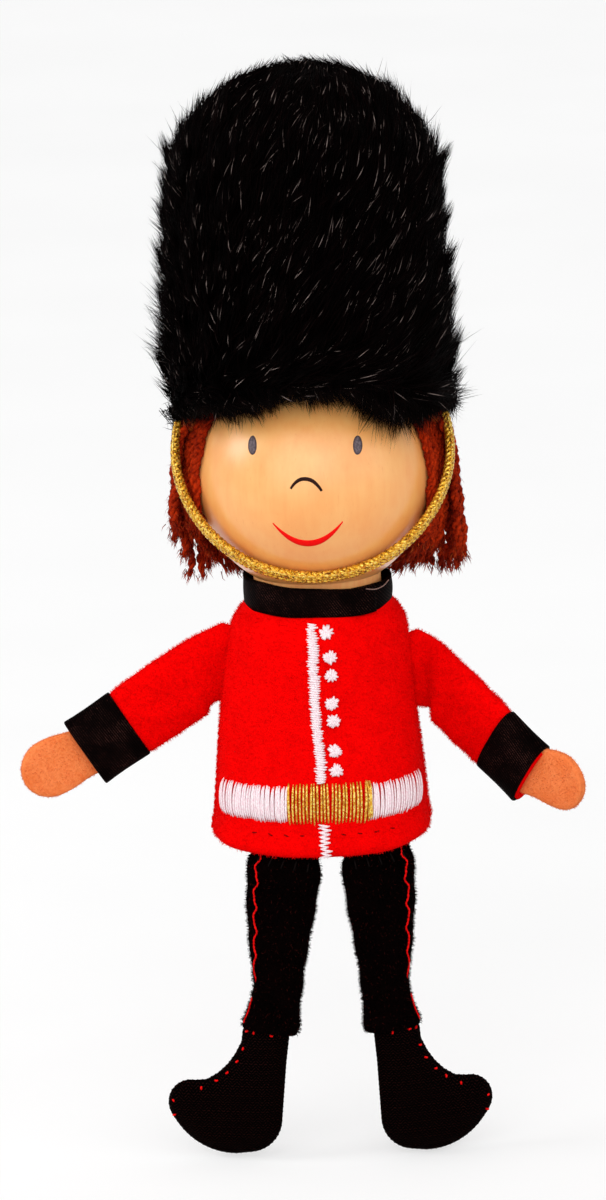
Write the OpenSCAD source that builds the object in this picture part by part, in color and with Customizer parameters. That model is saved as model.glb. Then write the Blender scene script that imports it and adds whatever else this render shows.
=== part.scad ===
// Soldier finger puppet: a wooden ball head with a tall fur hat on a sewn cloth body.
// Millimetres. Z is up, the puppet faces -Y and the origin is the mouth of the finger bore.
// Right and left are the puppet's own sides: its right is at -X.

/* [Head] */
// Diameter of the wooden ball
head_d = 30; // [26:0.5:36]
// Diameter of the bore that the fingertip enters
finger_bore_d = 14; // [12:0.5:16]
// Wall of the neck tube
neck_wall = 1; // [0.6:0.1:1.5]
// Length of neck tube that stands out below the ball
neck_stand = 4; // [3.5:0.1:6]
// Depth of the neck tube inside the ball
neck_seat = 8.7; // [6:0.1:11]
// Height of the collar's lower edge above the bore's mouth
collar_z = 2.5; // [2:0.1:3]
// Thickness of the collar ribbon
collar_t = 0.45; // [0.3:0.05:0.7]

/* [Hat and hair] */
// Room between the ball and the hat's wall, for hair and strap ends
hat_room = 2.3; // [2:0.1:4]
// Wall of the fur cloth, pile included
hat_wall = 1.2; // [0.8:0.1:2]
// Height of the hat's top above the middle of the ball
hat_rise = 52; // [44:0.5:60]
// Height of the rounded crown
crown_h = 16; // [10:0.5:20]
// Height of the hem above the middle of the ball, at the temples
hat_hem = 7.9; // [7.5:0.1:9]
// Backward tilt of the hem
hat_tilt = 19; // [10:1:22]
// Height of the hair's lower end below the middle of the ball
hair_drop = 12; // [9:0.5:12.5]

/* [Chin strap] */
// Diameter of one gold cord
strap_cord_d = 1.1; // [0.8:0.05:1.4]
// Forward tilt of the strap
strap_tilt = 28; // [24:1:34]
// Height of the strap's ends above the middle of the ball
strap_hang = 7; // [6.5:0.1:7.5]
// Distance of the strap's ends in front of the middle of the ball
strap_ahead = 1; // [0.5:0.1:1.5]

/* [Tunic] */
// Thickness of the tunic cloth
tunic_wall = 0.75; // [0.5:0.05:1]
// Gap between collar and tunic, for nodding
nod_gap = 0.65; // [0.6:0.05:1]
// Length from neck edge to side hem
tunic_len = 28.7; // [28:0.5:36]
// Width over the hem
hem_w = 27.5; // [26:0.5:32]
// Depth over the hem
hem_d = 22.6; // [22:0.5:28]
// How much lower the hem hangs in front and behind
hem_dip = 1.4; // [0:0.1:2]
// Thickness of embroidery on the tunic
stitch_t = 0.4; // [0.2:0.05:0.6]
// Height of the belt
belt_h = 4.8; // [4:0.1:5.2]
// Width of the buckle
buckle_w = 9.8; // [8:0.2:12]

/* [Arms] */
// Height of the sleeve at the shoulder seam
sleeve_root = 10; // [8:0.5:11]
// Length from the shoulder seam to the cuff
sleeve_len = 13.6; // [11:0.2:18]
// Width of the sleeve at the cuff
sleeve_end = 9; // [8:0.2:10]
// Length of the cuff
cuff_len = 6; // [4:0.2:8]
// Length of the hand beyond the cuff
hand_len = 8.4; // [6:0.2:10]
// Width of the hand
hand_w = 7.4; // [6:0.2:7.6]
// Drop of the right and left shoulder below the tunic's top
shoulder_drop = [7.1, 8.8]; // [6.8:0.1:9.2]
// Droop of the right and left arm below level
arm_droop = [33, 34.5]; // [10:0.5:50]
// Forward turn of the right and left arm
arm_forward = [7, 40]; // [0:1:45]
// Upward bend of the right and left hand at the cuff
hand_lift = [9, 26]; // [0:0.5:30]

/* [Legs] */
// Distance of the right and left hip from the middle
hip_x = [5.4, 6.3]; // [5.3:0.1:6.5]
// Width of the trouser at the hip
hip_w = 9.4; // [8:0.1:9.6]
// Length from the hip to the trouser's cuff
trouser_len = 21.7; // [18:0.1:28]
// Width of the trouser above its cuff
knee_w = 5.9; // [5:0.1:6.4]
// Width of the trouser's cuff
trouser_end = 7; // [6.8:0.1:8]
// Outward splay of the right and left leg
leg_splay = [8.2, 4.6]; // [2:0.2:9]
// Thickness of one layer of boot cloth
boot_t = 1.2; // [0.9:0.05:1.25]
// Height of a boot below the trouser's cuff
boot_h = 17; // [15.5:0.1:18]

/* [Hidden] */
$fn = 64;
// Gap between pieces that are glued or sewn together
seat = 0.05;
// Gap between pieces that move on each other
free = 0.3;
thread_r = 0.3;
right = -1;
left = 1;

head_r = head_d / 2;
head_z = neck_stand + head_r;
bore_r = finger_bore_d / 2;
neck_r = bore_r + neck_wall;
edge_in = neck_r + seat;
edge_out = edge_in + 0.7;
collar_in = edge_out + seat;
collar_out = collar_in + collar_t;
collar_top = ball_under(collar_in) - 0.2;

hat_in = head_r + hat_room;
hat_out = hat_in + hat_wall;
// The hat narrows a little from the hem to the crown
crown_r = hat_out - 1.3;
crown_z = hat_rise - crown_h;

strap_r = strap_cord_d / 2;
strap_y = -strap_ahead;
strap_z = head_z + strap_hang;
strap_end_r = strap_cord_d + 0.05;
// The strap lies in a plane through the temples, which cuts the ball in a circle off its middle
strap_off = strap_ahead * cos(strap_tilt) + strap_hang * sin(strap_tilt);
strap_down = strap_hang * cos(strap_tilt) - strap_ahead * sin(strap_tilt);
chin_r = sqrt(head_r * head_r - pow(strap_off - strap_cord_d, 2));
strap_x = hat_in - strap_r - 0.15;
// The strap's bound ends stay clear of the ball all round
temple_x = sqrt(head_r * head_r - pow(norm([strap_ahead, strap_hang]) - strap_end_r, 2)) + free;
// The strap's arc runs from temple to temple just below the chin
strap_low = strap_down + chin_r + strap_r + free;
strap_mid = (strap_low * strap_low - strap_x * strap_x) / (2 * strap_low);
strap_bend = strap_low - strap_mid;
strap_rise = asin(strap_mid / strap_bend);

tunic_in = collar_out + nod_gap;
tunic_out = tunic_in + tunic_wall;
tunic_top = collar_z - free;
hem_z = tunic_top - tunic_len;
// The neck is round, the hem a flattened oval
hem_squareness = 2.6;

sleeve_t = 3.2;
sleeve_root_r = 0.8;
function shoulder_z(side) = tunic_top - own(shoulder_drop, side);
function shoulder_x(side) = half_w(shoulder_z(side)) + free + sleeve_root_r;
function shoulder_lean(side) = atan((half_w(shoulder_z(side) - 5) - half_w(shoulder_z(side) + 5)) / 10);
arm_len = sleeve_len + cuff_len;
cuff_t = 0.35;
hand_t = 1.2;
// Distance inside the cuff at which a hand bends
hand_bend = 1.5;

hip_roll_r = 1.2;
hip_z = hem_z - hem_dip - hip_roll_r - 0.4;
hip_tab_w = 7.2;
knee_t = 3;
cuff_depth = 3.4;
knee_down = trouser_len - 5.5;
boot_w = trouser_end - 1;
boot_tongue = 3.6;
boot_tongue_w = boot_w - 1.8;

// Right or left value of a pair
function own(pair, side) = pair[side == right ? 0 : 1];

// Height of the ball's underside at a distance from the axis
function ball_under(r) = head_z - sqrt(head_r * head_r - r * r);

// Share of the way from the tunic's neck to its hem
function fall(z) = max(tunic_top - z, 0) / tunic_len;
function half_w(z) = tunic_out + (hem_w / 2 - tunic_out) * pow(fall(z), 0.8);
function half_d(z) = tunic_out + (hem_d / 2 - tunic_out) * pow(fall(z), 0.8);
function squareness(z) = 2 + (hem_squareness - 2) * fall(z);

// Signed power, for the oval
function bulge(v, n) = sign(v) * pow(abs(v), 2 / n);

// Point on the tunic at angle t and height z, lifted off its outer face
function tunic_point(t, z, lift) = [
    (half_w(z) + lift) * bulge(cos(t), squareness(z)),
    (half_d(z) + lift) * bulge(sin(t), squareness(z)),
    z - hem_dip * pow(fall(z), 5) * pow(sin(t), 2)
];

// Distance of the tunic's front face ahead of the axis, at x and z
function front_depth(x, z, lift) = (half_d(z) + lift)
    * pow(1 - pow(abs(x) / (half_w(z) + lift), squareness(z)), 1 / squareness(z));

// A hip hangs inside the tunic's front and is turned along it
function hip_y(x) = 2.4 - front_depth(x, hem_z, -tunic_wall);
function hip_turn(x) = 0.9 * atan(
    (front_depth(x - hip_w / 2, hem_z, 0) - front_depth(x + hip_w / 2, hem_z, 0)) / hip_w);

// Angle on the tunic's front where its outer face has this x
function front_angle(x, z) = -acos(sign(x) * pow(abs(x) / half_w(z), squareness(z) / 2));

function quad(a, b, c, d) = [[a, b, c], [a, c, d]];
function flat_list(lists) = [for (l = lists) each l];

// Cloth between two grids of points, given row by row from the top and left to right from outside
module cloth(outer, inner) {
    rows = len(outer);
    columns = len(outer[0]);
    function at(i, j, layer) = (layer * rows + i) * columns + j;
    last_row = rows - 1;
    last_column = columns - 1;
    outside = [for (i = [0:last_row - 1], j = [0:last_column - 1])
        quad(at(i, j, 0), at(i, j + 1, 0), at(i + 1, j + 1, 0), at(i + 1, j, 0))];
    inside = [for (i = [0:last_row - 1], j = [0:last_column - 1])
        quad(at(i, j, 1), at(i + 1, j, 1), at(i + 1, j + 1, 1), at(i, j + 1, 1))];
    top_edge = [for (j = [0:last_column - 1])
        quad(at(0, j, 0), at(0, j, 1), at(0, j + 1, 1), at(0, j + 1, 0))];
    bottom_edge = [for (j = [0:last_column - 1])
        quad(at(last_row, j + 1, 0), at(last_row, j + 1, 1), at(last_row, j, 1), at(last_row, j, 0))];
    start_edge = [for (i = [0:last_row - 1])
        quad(at(i, 0, 1), at(i, 0, 0), at(i + 1, 0, 0), at(i + 1, 0, 1))];
    end_edge = [for (i = [0:last_row - 1])
        quad(at(i, last_column, 0), at(i, last_column, 1), at(i + 1, last_column, 1), at(i + 1, last_column, 0))];
    polyhedron(
        points = concat(flat_list(outer), flat_list(inner)),
        faces = flat_list(concat(outside, inside, top_edge, bottom_edge, start_edge, end_edge))
    );
}

// Half of the tunic's wall, from one side seam round to the other
module tunic_panel(start) {
    rows = 12;
    columns = 24;
    function grid(lift) = [for (i = [0:rows]) [for (j = [0:columns])
        tunic_point(start + 180 * j / columns, tunic_top - tunic_len * i / rows, lift)]];
    cloth(grid(0), grid(-tunic_wall));
}

// Patch of embroidery on the tunic's front, between two x and two heights
module front_patch(x_from, x_to, z_from, z_to, columns, rows) {
    function grid(lift) = [for (i = [0:rows]) let (z = z_from + (z_to - z_from) * i / rows)
        [for (j = [0:columns])
            tunic_point(front_angle(x_from + (x_to - x_from) * j / columns, z), z, lift)]];
    cloth(grid(2 * seat + stitch_t), grid(2 * seat));
}

// Round rod between two points
module rod(p, q, r) {
    way = q - p;
    translate(p)
        rotate([0, acos(way.z / norm(way)), atan2(way.y, way.x)])
            cylinder(h = norm(way), r = r, $fn = 24);
}

// Flat shape with round ends, w wide along x
module stadium(w, t) {
    square([w - t, t], center = true);
    for (side = [right, left])
        translate([side * (w - t) / 2, 0]) circle(d = t, $fn = 32);
}

// Length of flattened sleeve along x
module flat_sleeve(length, w, t) {
    rotate([0, 90, 0]) linear_extrude(length) stadium(w, t);
}

// Head, on the ball's middle
module at_head() {
    translate([0, 0, head_z]) children();
}

module head_ball() {
    color("burlywood") difference() {
        at_head() sphere(r = head_r, $fn = 96);
        translate([0, 0, -1]) cylinder(h = neck_stand + neck_seat + 1 + seat, r = neck_r + seat);
    }
}

module neck_tube() {
    color("tan") difference() {
        cylinder(h = neck_stand + neck_seat, r = neck_r);
        translate([0, 0, -1]) cylinder(h = neck_stand + neck_seat + 2, r = bore_r);
    }
}

module tunic_neck_edge() {
    edge_z = 0.5;
    color("red") difference() {
        translate([0, 0, edge_z]) cylinder(h = ball_under(edge_in) - 0.2 - edge_z, r = edge_out);
        translate([0, 0, -1]) cylinder(h = head_z, r = edge_in);
    }
}

module collar_ribbon() {
    color("black") difference() {
        translate([0, 0, collar_z]) cylinder(h = collar_top - collar_z, r = collar_out);
        cylinder(h = head_z, r = collar_in);
    }
}

// Everything above a plane that is parallel to the hat's hem
module above_hem(lift) {
    reach = 4 * head_d;
    at_head() translate([0, 0, hat_hem + lift])
        rotate([-hat_tilt, 0, 0])
            translate([-reach / 2, -reach / 2, 0]) cube([reach, reach, reach]);
}

// Outline of the hat's crown, from its edge to its top
function crown_arc(r, h) = [for (a = [0:9:90]) [r * cos(a), crown_z + h * sin(a)]];

module hat_side() {
    color([0.08, 0.07, 0.07]) intersection() {
        above_hem(0);
        at_head() rotate_extrude() polygon([
            [hat_in, 0], [hat_out, 0], [crown_r, crown_z], [crown_r - hat_wall, crown_z]
        ]);
    }
}

module hat_crown() {
    inner = [for (i = [10:-1:0]) crown_arc(crown_r - hat_wall, crown_h - hat_wall)[i]];
    color([0.1, 0.09, 0.09]) at_head() translate([0, 0, seat])
        rotate_extrude() polygon(concat(crown_arc(crown_r, crown_h), inner));
}

module hat_wadding() {
    gap = 0.15;
    color("ivory") difference() {
        intersection() {
            above_hem(5);
            at_head() rotate_extrude() polygon(concat(
                [[0, 0], [hat_in - gap, 0]],
                crown_arc(crown_r - hat_wall - gap, crown_h - hat_wall - gap)
            ));
        }
        at_head() sphere(r = head_r + gap, $fn = 96);
    }
}

// Plane of the chin strap: local x to the puppet's left, local z up along the strap
module at_strap(ahead) {
    translate([0, strap_y, strap_z]) rotate([-strap_tilt, 0, 0]) translate([0, -ahead, 0]) children();
}

// Hair over a range of angles round the head, counted from the puppet's left
module hair(start, sweep) {
    gap = 0.15;
    reach = 4 * head_d;
    difference() {
        at_head() rotate([0, 0, start]) rotate_extrude(angle = sweep) polygon([
            [head_r - 3.5, hat_hem + 0.3], [hat_in - free, hat_hem + 0.3], [hat_in - free, 1],
            [hat_out, -hair_drop / 2], [hat_out - 1.1, 1 - hair_drop], [head_r - 4.2, -hair_drop]
        ]);
        above_hem(4.6);
        at_head() sphere(r = head_r + gap, $fn = 96);
        at_strap(-strap_end_r - free) translate([-reach / 2, -reach, -reach / 2]) cube(reach);
    }
}

module hair_right() {
    color("sienna") hair(131, 79);
}

module hair_left() {
    color("sienna") hair(-30, 79);
}

module hair_back() {
    color("sienna") hair(50, 80);
}

// One gold cord, round under the chin from temple to temple
module chin_cord(ahead) {
    color("gold") at_strap(ahead) translate([0, 0, -strap_mid])
        rotate([90, 0, 0]) rotate([0, 0, 180 - strap_rise])
            rotate_extrude(angle = 180 + 2 * strap_rise)
                translate([strap_bend, 0]) circle(r = strap_r, $fn = 24);
}

module chin_cord_upper() {
    chin_cord(strap_r + seat / 2);
}

module chin_cord_lower() {
    chin_cord(-strap_r - seat / 2);
}

// Bound end of the strap, from the ball to the cords
module strap_end(side) {
    outer = strap_x - strap_r - seat;
    color("goldenrod") translate([0, strap_y, strap_z])
        rotate([0, side * 90, 0]) translate([0, 0, temple_x]) cylinder(h = outer - temple_x, r = strap_end_r);
}

module strap_end_right() {
    strap_end(right);
}

module strap_end_left() {
    strap_end(left);
}

module tunic_front() {
    color("red") tunic_panel(180);
}

module tunic_back() {
    color("firebrick") tunic_panel(0);
}

// Thread that closes a side seam below the arm
module side_seam(side) {
    top = shoulder_z(side) - sleeve_root / 2 - 3;
    out = thread_r + 2 * seat;
    color("darkred") rod(
        [side * (half_w(top) + out), 0, top],
        [side * (half_w(hem_z + 0.5) + out), 0, hem_z + 0.5],
        thread_r
    );
}

module right_side_seam() {
    side_seam(right);
}

module left_side_seam() {
    side_seam(left);
}

belt_top = tunic_top - 0.718 * tunic_len;
belt_bottom = belt_top - belt_h;
belt_end = hem_w / 2 - 1.25;
buckle_right = 0.6 - buckle_w / 2;
buckle_left = 0.6 + buckle_w / 2;
line_w = 1.25;

module front_line_upper() {
    color("white") front_patch(-1.3, line_w - 1.3, tunic_top - 0.5, belt_top + 0.4, 2, 8);
}

module front_line_lower() {
    color("white") front_patch(-0.8, line_w - 0.8, belt_bottom - 0.4, hem_z + 0.2, 2, 3);
}

module belt_right() {
    color("white") front_patch(-belt_end, buckle_right - 0.2, belt_top, belt_bottom, 12, 2);
}

module belt_left() {
    color("white") front_patch(buckle_left + 0.2, belt_end, belt_top, belt_bottom, 12, 2);
}

module belt_buckle() {
    color("gold") front_patch(buckle_right, buckle_left, belt_top + 0.2, belt_bottom - 0.2, 8, 2);
}

// Star of six points, r to a point
module star(r) {
    polygon([for (i = [0:11]) (i % 2 == 0 ? r : 0.55 * r) * [cos(30 * i), sin(30 * i)]]);
}

// The buttons sit in pairs below a first one, as shares of the way from the neck to the belt
module star_buttons() {
    button_places = [0.07, 0.22, 0.33, 0.5, 0.61, 0.79, 0.91];
    color("ivory") for (i = [0:6]) {
        x = 0.8 + 0.7 * sqrt(i / 6);
        z = tunic_top + (belt_top - tunic_top) * button_places[i];
        translate([x, -front_depth(x - 0.4, z, 0) - 3 * seat, z])
            rotate([90, 0, 0]) linear_extrude(stitch_t + 0.1) star(0.95);
    }
}

module leg_seam_stitches() {
    z = hem_z + 2.4;
    color("maroon") for (side = [right, left], i = [0:3]) {
        middle = side * (2.6 + 2 * i);
        front_patch(middle - 0.5, middle + 0.5, z + 0.15, z - 0.15, 1, 1);
    }
}

// Shoulder seam: local z up along the seam, local x away from the tunic
module at_shoulder(side) {
    mirror([side == right ? 1 : 0, 0, 0])
        translate([shoulder_x(side), 0, shoulder_z(side)]) rotate([0, -shoulder_lean(side), 0]) children();
}

// Arm, turned forward about the shoulder seam
module at_arm(side) {
    at_shoulder(side) rotate([0, 0, -own(arm_forward, side)]) children();
}

// Along the arm: local x from the shoulder to the hand
module along_arm(side) {
    rotate([0, own(arm_droop, side) + shoulder_lean(side), 0]) children();
}

module sleeve(side) {
    lining = hand_t + 0.8;
    color("red") at_arm(side) difference() {
        union() {
            hull() {
                cylinder(h = sleeve_root, r = sleeve_root_r, center = true, $fn = 32);
                along_arm(side) translate([sleeve_len, 0, 0])
                    flat_sleeve(0.3, sleeve_end - 2 * seat, sleeve_t - 2 * seat);
            }
            along_arm(side) translate([sleeve_len, 0, 0]) flat_sleeve(cuff_len, sleeve_end, sleeve_t);
        }
        cylinder(h = 4 * sleeve_root, r = thread_r + seat, center = true, $fn = 32);
        along_arm(side) translate([arm_len - 5, 0, 0]) flat_sleeve(6, sleeve_end - 1.2, lining);
    }
}

module right_sleeve() {
    sleeve(right);
}

module left_sleeve() {
    sleeve(left);
}

module cuff(side) {
    inner_w = sleeve_end + 2 * seat;
    inner_t = sleeve_t + 2 * seat;
    color("black") at_arm(side) along_arm(side) translate([sleeve_len, 0, 0]) difference() {
        flat_sleeve(cuff_len, inner_w + 2 * cuff_t, inner_t + 2 * cuff_t);
        translate([-1, 0, 0]) flat_sleeve(cuff_len + 2, inner_w, inner_t);
    }
}

module right_cuff() {
    cuff(right);
}

module left_cuff() {
    cuff(left);
}

// Outline of a hand from its bend in the cuff: x along the arm, y up
module hand_outline(lift) {
    root = hand_bend - 4.5;
    tip = hand_bend + hand_len - hand_w / 2;
    rotate(lift) {
        translate([root, -hand_w / 2]) square([tip - root, hand_w]);
        translate([tip, 0]) circle(d = hand_w, $fn = 48);
    }
}

// Felt tongue with a round end. Its root is trimmed to the room inside the sleeve
module hand(side) {
    room = sleeve_end - 1.6;
    reach = 4 * hand_len;
    color("sandybrown") at_arm(side) along_arm(side) translate([arm_len - hand_bend, 0, 0])
        rotate([90, 0, 0]) linear_extrude(hand_t, center = true) intersection() {
            hand_outline(own(hand_lift, side));
            union() {
                translate([hand_bend - 4.5, -room / 2]) square([5, room]);
                translate([hand_bend + 2 * seat, -reach / 2]) square(reach);
            }
        }
}

module right_hand() {
    hand(right);
}

module left_hand() {
    hand(left);
}

// Thread that the sleeve swings on, hooked into the tunic above and below the sleeve
module shoulder_thread(side) {
    top = sleeve_root / 2 + 0.7;
    bottom = -sleeve_root / 2 - 2;
    hook = sleeve_root_r + free - 2 * seat;
    color("darkred") at_shoulder(side) {
        rod([0, 0, bottom], [0, 0, top], thread_r);
        for (z = [bottom, top]) {
            translate([0, 0, z]) sphere(r = thread_r, $fn = 24);
            rod([-hook, 0, z], [0, 0, z], thread_r);
        }
    }
}

module right_shoulder_thread() {
    shoulder_thread(right);
}

module left_shoulder_thread() {
    shoulder_thread(left);
}

// Hip: local x outwards along the seam, local -y forward
module at_hip(side) {
    x = own(hip_x, side);
    mirror([side == right ? 1 : 0, 0, 0])
        translate([x, hip_y(x), hip_z]) rotate([0, 0, hip_turn(x)]) children();
}

// Down the leg: local z up along the splayed leg
module along_leg(side) {
    rotate([0, -own(leg_splay, side), 0]) children();
}

// Top of the trouser, sewn inside the tunic's front
module leg_tab(side) {
    low = hip_roll_r + 0.5;
    color([0.12, 0.12, 0.13]) at_hip(side)
        translate([-hip_tab_w / 2, -1.2, low]) cube([hip_tab_w, 1.6, 5]);
}

module right_leg_tab() {
    leg_tab(right);
}

module left_leg_tab() {
    leg_tab(left);
}

// Thread that the leg swings on, with a loop at each end up to the tab
module hip_thread(side) {
    loop_x = hip_w / 2 + thread_r + 0.15;
    loop_z = hip_roll_r + 1.2;
    color([0.2, 0.2, 0.2]) at_hip(side) {
        rod([-loop_x, 0, 0], [loop_x, 0, 0], thread_r);
        for (end = [right, left]) {
            rod([end * loop_x, 0, 0], [end * loop_x, 0, loop_z], thread_r);
            rod([end * loop_x, 0, loop_z], [end * (hip_tab_w / 2 + seat), 0, loop_z], thread_r);
            for (z = [0, loop_z])
                translate([end * loop_x, 0, z]) sphere(r = thread_r, $fn = 24);
        }
    }
}

module right_hip_thread() {
    hip_thread(right);
}

module left_hip_thread() {
    hip_thread(left);
}

// Slice across the leg, down from the hip
module leg_slice(side, down, w, t) {
    along_leg(side) translate([0, 0, -down]) linear_extrude(0.2) stadium(w, t);
}

module trouser(side) {
    color([0.1, 0.1, 0.11]) at_hip(side) difference() {
        union() {
            hull() {
                rotate([0, 90, 0]) cylinder(h = hip_w, r = hip_roll_r, center = true, $fn = 32);
                leg_slice(side, knee_down, knee_w, knee_t);
            }
            hull() {
                leg_slice(side, knee_down, knee_w, knee_t);
                leg_slice(side, trouser_len, trouser_end, cuff_depth);
            }
        }
        rotate([0, 90, 0]) cylinder(h = 2 * hip_w, r = thread_r + seat, center = true, $fn = 32);
        along_leg(side) translate([0, 0, -trouser_len - 1]) linear_extrude(boot_tongue + 1.2)
            square([boot_tongue_w + 0.2, 2 * boot_t + 0.1], center = true);
    }
}

module right_trouser() {
    trouser(right);
}

module left_trouser() {
    trouser(left);
}

module trouser_stripe(side) {
    r = 0.3;
    top = [0.31 * hip_w, -hip_roll_r - r - 0.22, -1.5];
    knee = [0.4 * knee_w, -0.5 * knee_t - r, 1 - knee_down];
    cuff = [0.38 * trouser_end, -0.42 * cuff_depth - r - 0.1, 1.5 - trouser_len];
    color("red") at_hip(side) along_leg(side) {
        rod(top, knee, r);
        rod(knee, cuff, r);
    }
}

module right_trouser_stripe() {
    trouser_stripe(right);
}

module left_trouser_stripe() {
    trouser_stripe(left);
}

// Points on an arc about a middle, from one angle to another
function arc(middle, r, from, to) = [for (i = [0:6]) middle + r * [cos(from + (to - from) * i / 6),
    sin(from + (to - from) * i / 6)]];

// Outline of a boot: x outwards to the toe, y up from the trouser's cuff. A tongue goes up into the trouser
module boot_outline() {
    shaft = boot_w / 2;
    tongue = boot_tongue_w / 2;
    polygon(concat(
        [[tongue, -2 * seat], [tongue, boot_tongue], [-tongue, boot_tongue], [-tongue, -2 * seat]],
        [[-shaft, -2 * seat], [-shaft, -0.24 * boot_h]],
        arc(boot_h * [0.075, -0.71], 0.27 * boot_h, 182, 254),
        arc(boot_h * [0.21, -0.5], 0.51 * boot_h, 260, 318),
        arc(boot_h * [0.5, -0.67], 0.18 * boot_h, -42, 92),
        boot_h * [[0.41, -0.47], [0.33, -0.405], [0.265, -0.325], [0.215, -0.235]],
        [[shaft, -0.13 * boot_h], [shaft, -2 * seat]]
    ));
}

// One layer of a boot, ahead of or behind the middle of the leg
module boot_layer(side, y) {
    at_hip(side) along_leg(side) translate([0, y, -trouser_len])
        rotate([90, 0, 0]) linear_extrude(boot_t) boot_outline();
}

module right_boot_front() {
    color([0.07, 0.07, 0.08]) boot_layer(right, 0);
}

module right_boot_back() {
    color([0.1, 0.1, 0.11]) boot_layer(right, boot_t);
}

module left_boot_front() {
    color([0.07, 0.07, 0.08]) boot_layer(left, 0);
}

module left_boot_back() {
    color([0.1, 0.1, 0.11]) boot_layer(left, boot_t);
}

// Knots of red thread along the instep and round the toe
module boot_stitches(side) {
    knots = boot_h * [[0.15, -0.17], [0.185, -0.275], [0.25, -0.375], [0.325, -0.45], [0.43, -0.525],
        [0.63, -0.66], [0.615, -0.77]];
    color("red") at_hip(side) along_leg(side) for (knot = knots)
        translate([knot.x, -boot_t - seat, knot.y - trouser_len])
            rotate([90, 0, 0]) cylinder(h = 0.3, r = 0.35, $fn = 24);
}

module right_boot_stitches() {
    boot_stitches(right);
}

module left_boot_stitches() {
    boot_stitches(left);
}

head_ball();
neck_tube();
tunic_neck_edge();
collar_ribbon();
hair_right();
hair_left();
hair_back();
hat_side();
hat_crown();
hat_wadding();
chin_cord_upper();
chin_cord_lower();
strap_end_right();
strap_end_left();
tunic_front();
tunic_back();
right_side_seam();
left_side_seam();
front_line_upper();
front_line_lower();
star_buttons();
belt_right();
belt_left();
belt_buckle();
leg_seam_stitches();
right_leg_tab();
left_leg_tab();
right_hip_thread();
left_hip_thread();
right_shoulder_thread();
left_shoulder_thread();
right_sleeve();
left_sleeve();
right_cuff();
left_cuff();
right_hand();
left_hand();
right_trouser();
left_trouser();
right_trouser_stripe();
left_trouser_stripe();
right_boot_front();
right_boot_back();
left_boot_front();
left_boot_back();
right_boot_stitches();
left_boot_stitches();
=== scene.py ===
"""Looks of the soldier finger puppet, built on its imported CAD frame.

Lengths are in millimetres here, and a piece is scaled to metres when it is made.
The puppet faces -Y. Right and left are its own sides, so its right is at -X.
"""

import math

import bpy
import numpy as np
from mathutils import Matrix, Vector
from mathutils.geometry import delaunay_2d_cdt


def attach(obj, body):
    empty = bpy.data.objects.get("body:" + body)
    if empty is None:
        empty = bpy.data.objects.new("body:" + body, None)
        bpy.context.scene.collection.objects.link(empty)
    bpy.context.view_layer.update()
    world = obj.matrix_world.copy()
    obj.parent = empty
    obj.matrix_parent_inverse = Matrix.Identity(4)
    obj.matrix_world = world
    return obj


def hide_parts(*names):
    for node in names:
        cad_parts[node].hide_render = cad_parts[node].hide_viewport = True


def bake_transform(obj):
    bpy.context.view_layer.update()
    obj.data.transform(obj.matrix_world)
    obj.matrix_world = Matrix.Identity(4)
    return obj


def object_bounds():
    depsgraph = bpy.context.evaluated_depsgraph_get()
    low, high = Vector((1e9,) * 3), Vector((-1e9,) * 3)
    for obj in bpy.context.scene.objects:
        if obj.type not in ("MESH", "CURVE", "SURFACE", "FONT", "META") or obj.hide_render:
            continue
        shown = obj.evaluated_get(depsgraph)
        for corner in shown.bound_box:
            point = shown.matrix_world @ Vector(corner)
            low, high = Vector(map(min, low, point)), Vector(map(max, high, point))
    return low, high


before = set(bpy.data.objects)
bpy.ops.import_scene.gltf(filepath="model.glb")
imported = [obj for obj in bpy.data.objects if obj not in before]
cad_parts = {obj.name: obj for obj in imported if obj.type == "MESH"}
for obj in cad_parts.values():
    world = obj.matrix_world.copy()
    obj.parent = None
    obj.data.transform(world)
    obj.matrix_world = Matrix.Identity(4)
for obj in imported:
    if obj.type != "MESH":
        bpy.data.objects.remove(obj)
cad_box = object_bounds()

MM = 0.001
RIGHT = -1
LEFT = 1
SIDE_NAMES = {RIGHT: "right", LEFT: "left"}
BACK = np.array([0, 1.0, 0])
UP = np.array([0, 0, 1.0])
WHITE = (1, 1, 1, 1)
BLACK = (0, 0, 0, 1)
chance = np.random.default_rng(11)

# Sizes of the CAD part that the looks follow
HEAD_R = 15.0
HEAD_Z = 19.0
HAT_HEM = 7.9
HAT_TILT = math.tan(math.radians(19))
COLLAR_R = 9.25
COLLAR_LOW = 2.4
COLLAR_HIGH = 6.0
STRAP_TILT = math.radians(28)
STRAP_PLACE = np.array([0.0, -1.0, 26.0])
STRAP_MIDDLE = 4.14
STRAP_BEND = 17.11
STRAP_RISE = math.asin(STRAP_MIDDLE / STRAP_BEND)
TUNIC_TOP = 2.2
TUNIC_LEN = 28.7
TUNIC_R = 10.65
TUNIC_WALL = 0.75
HEM_Z = TUNIC_TOP - TUNIC_LEN
HEM_W = 27.5
HEM_D = 22.6
HEM_DIP = 1.4
BELT_TOP = TUNIC_TOP - 0.718 * TUNIC_LEN
BELT_BOTTOM = BELT_TOP - 4.8
ARM_LEN = 19.6
HAND_LEN = 8.4
HAND_W = 7.4
TROUSER_LEN = 21.7
BOOT_H = 17.0
FLOOR_Z = cad_box[0][2] / MM - 0.3


# Small tools for points

def unit(vectors):
    """The same directions with length 1."""
    return vectors / np.maximum(np.linalg.norm(vectors, axis=-1, keepdims=True), 1e-9)


def ease(share):
    """Smooth step from 0 to 1."""
    share = np.clip(share, 0, 1)
    return share * share * (3 - 2 * share)


def bell(value, middle, width):
    """Smooth hump of height 1."""
    return np.exp(-((value - middle) / width) ** 2)


def signed_power(value, power):
    """Power of the size of a value, with its sign kept."""
    return np.sign(value) * np.abs(value) ** power


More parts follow.
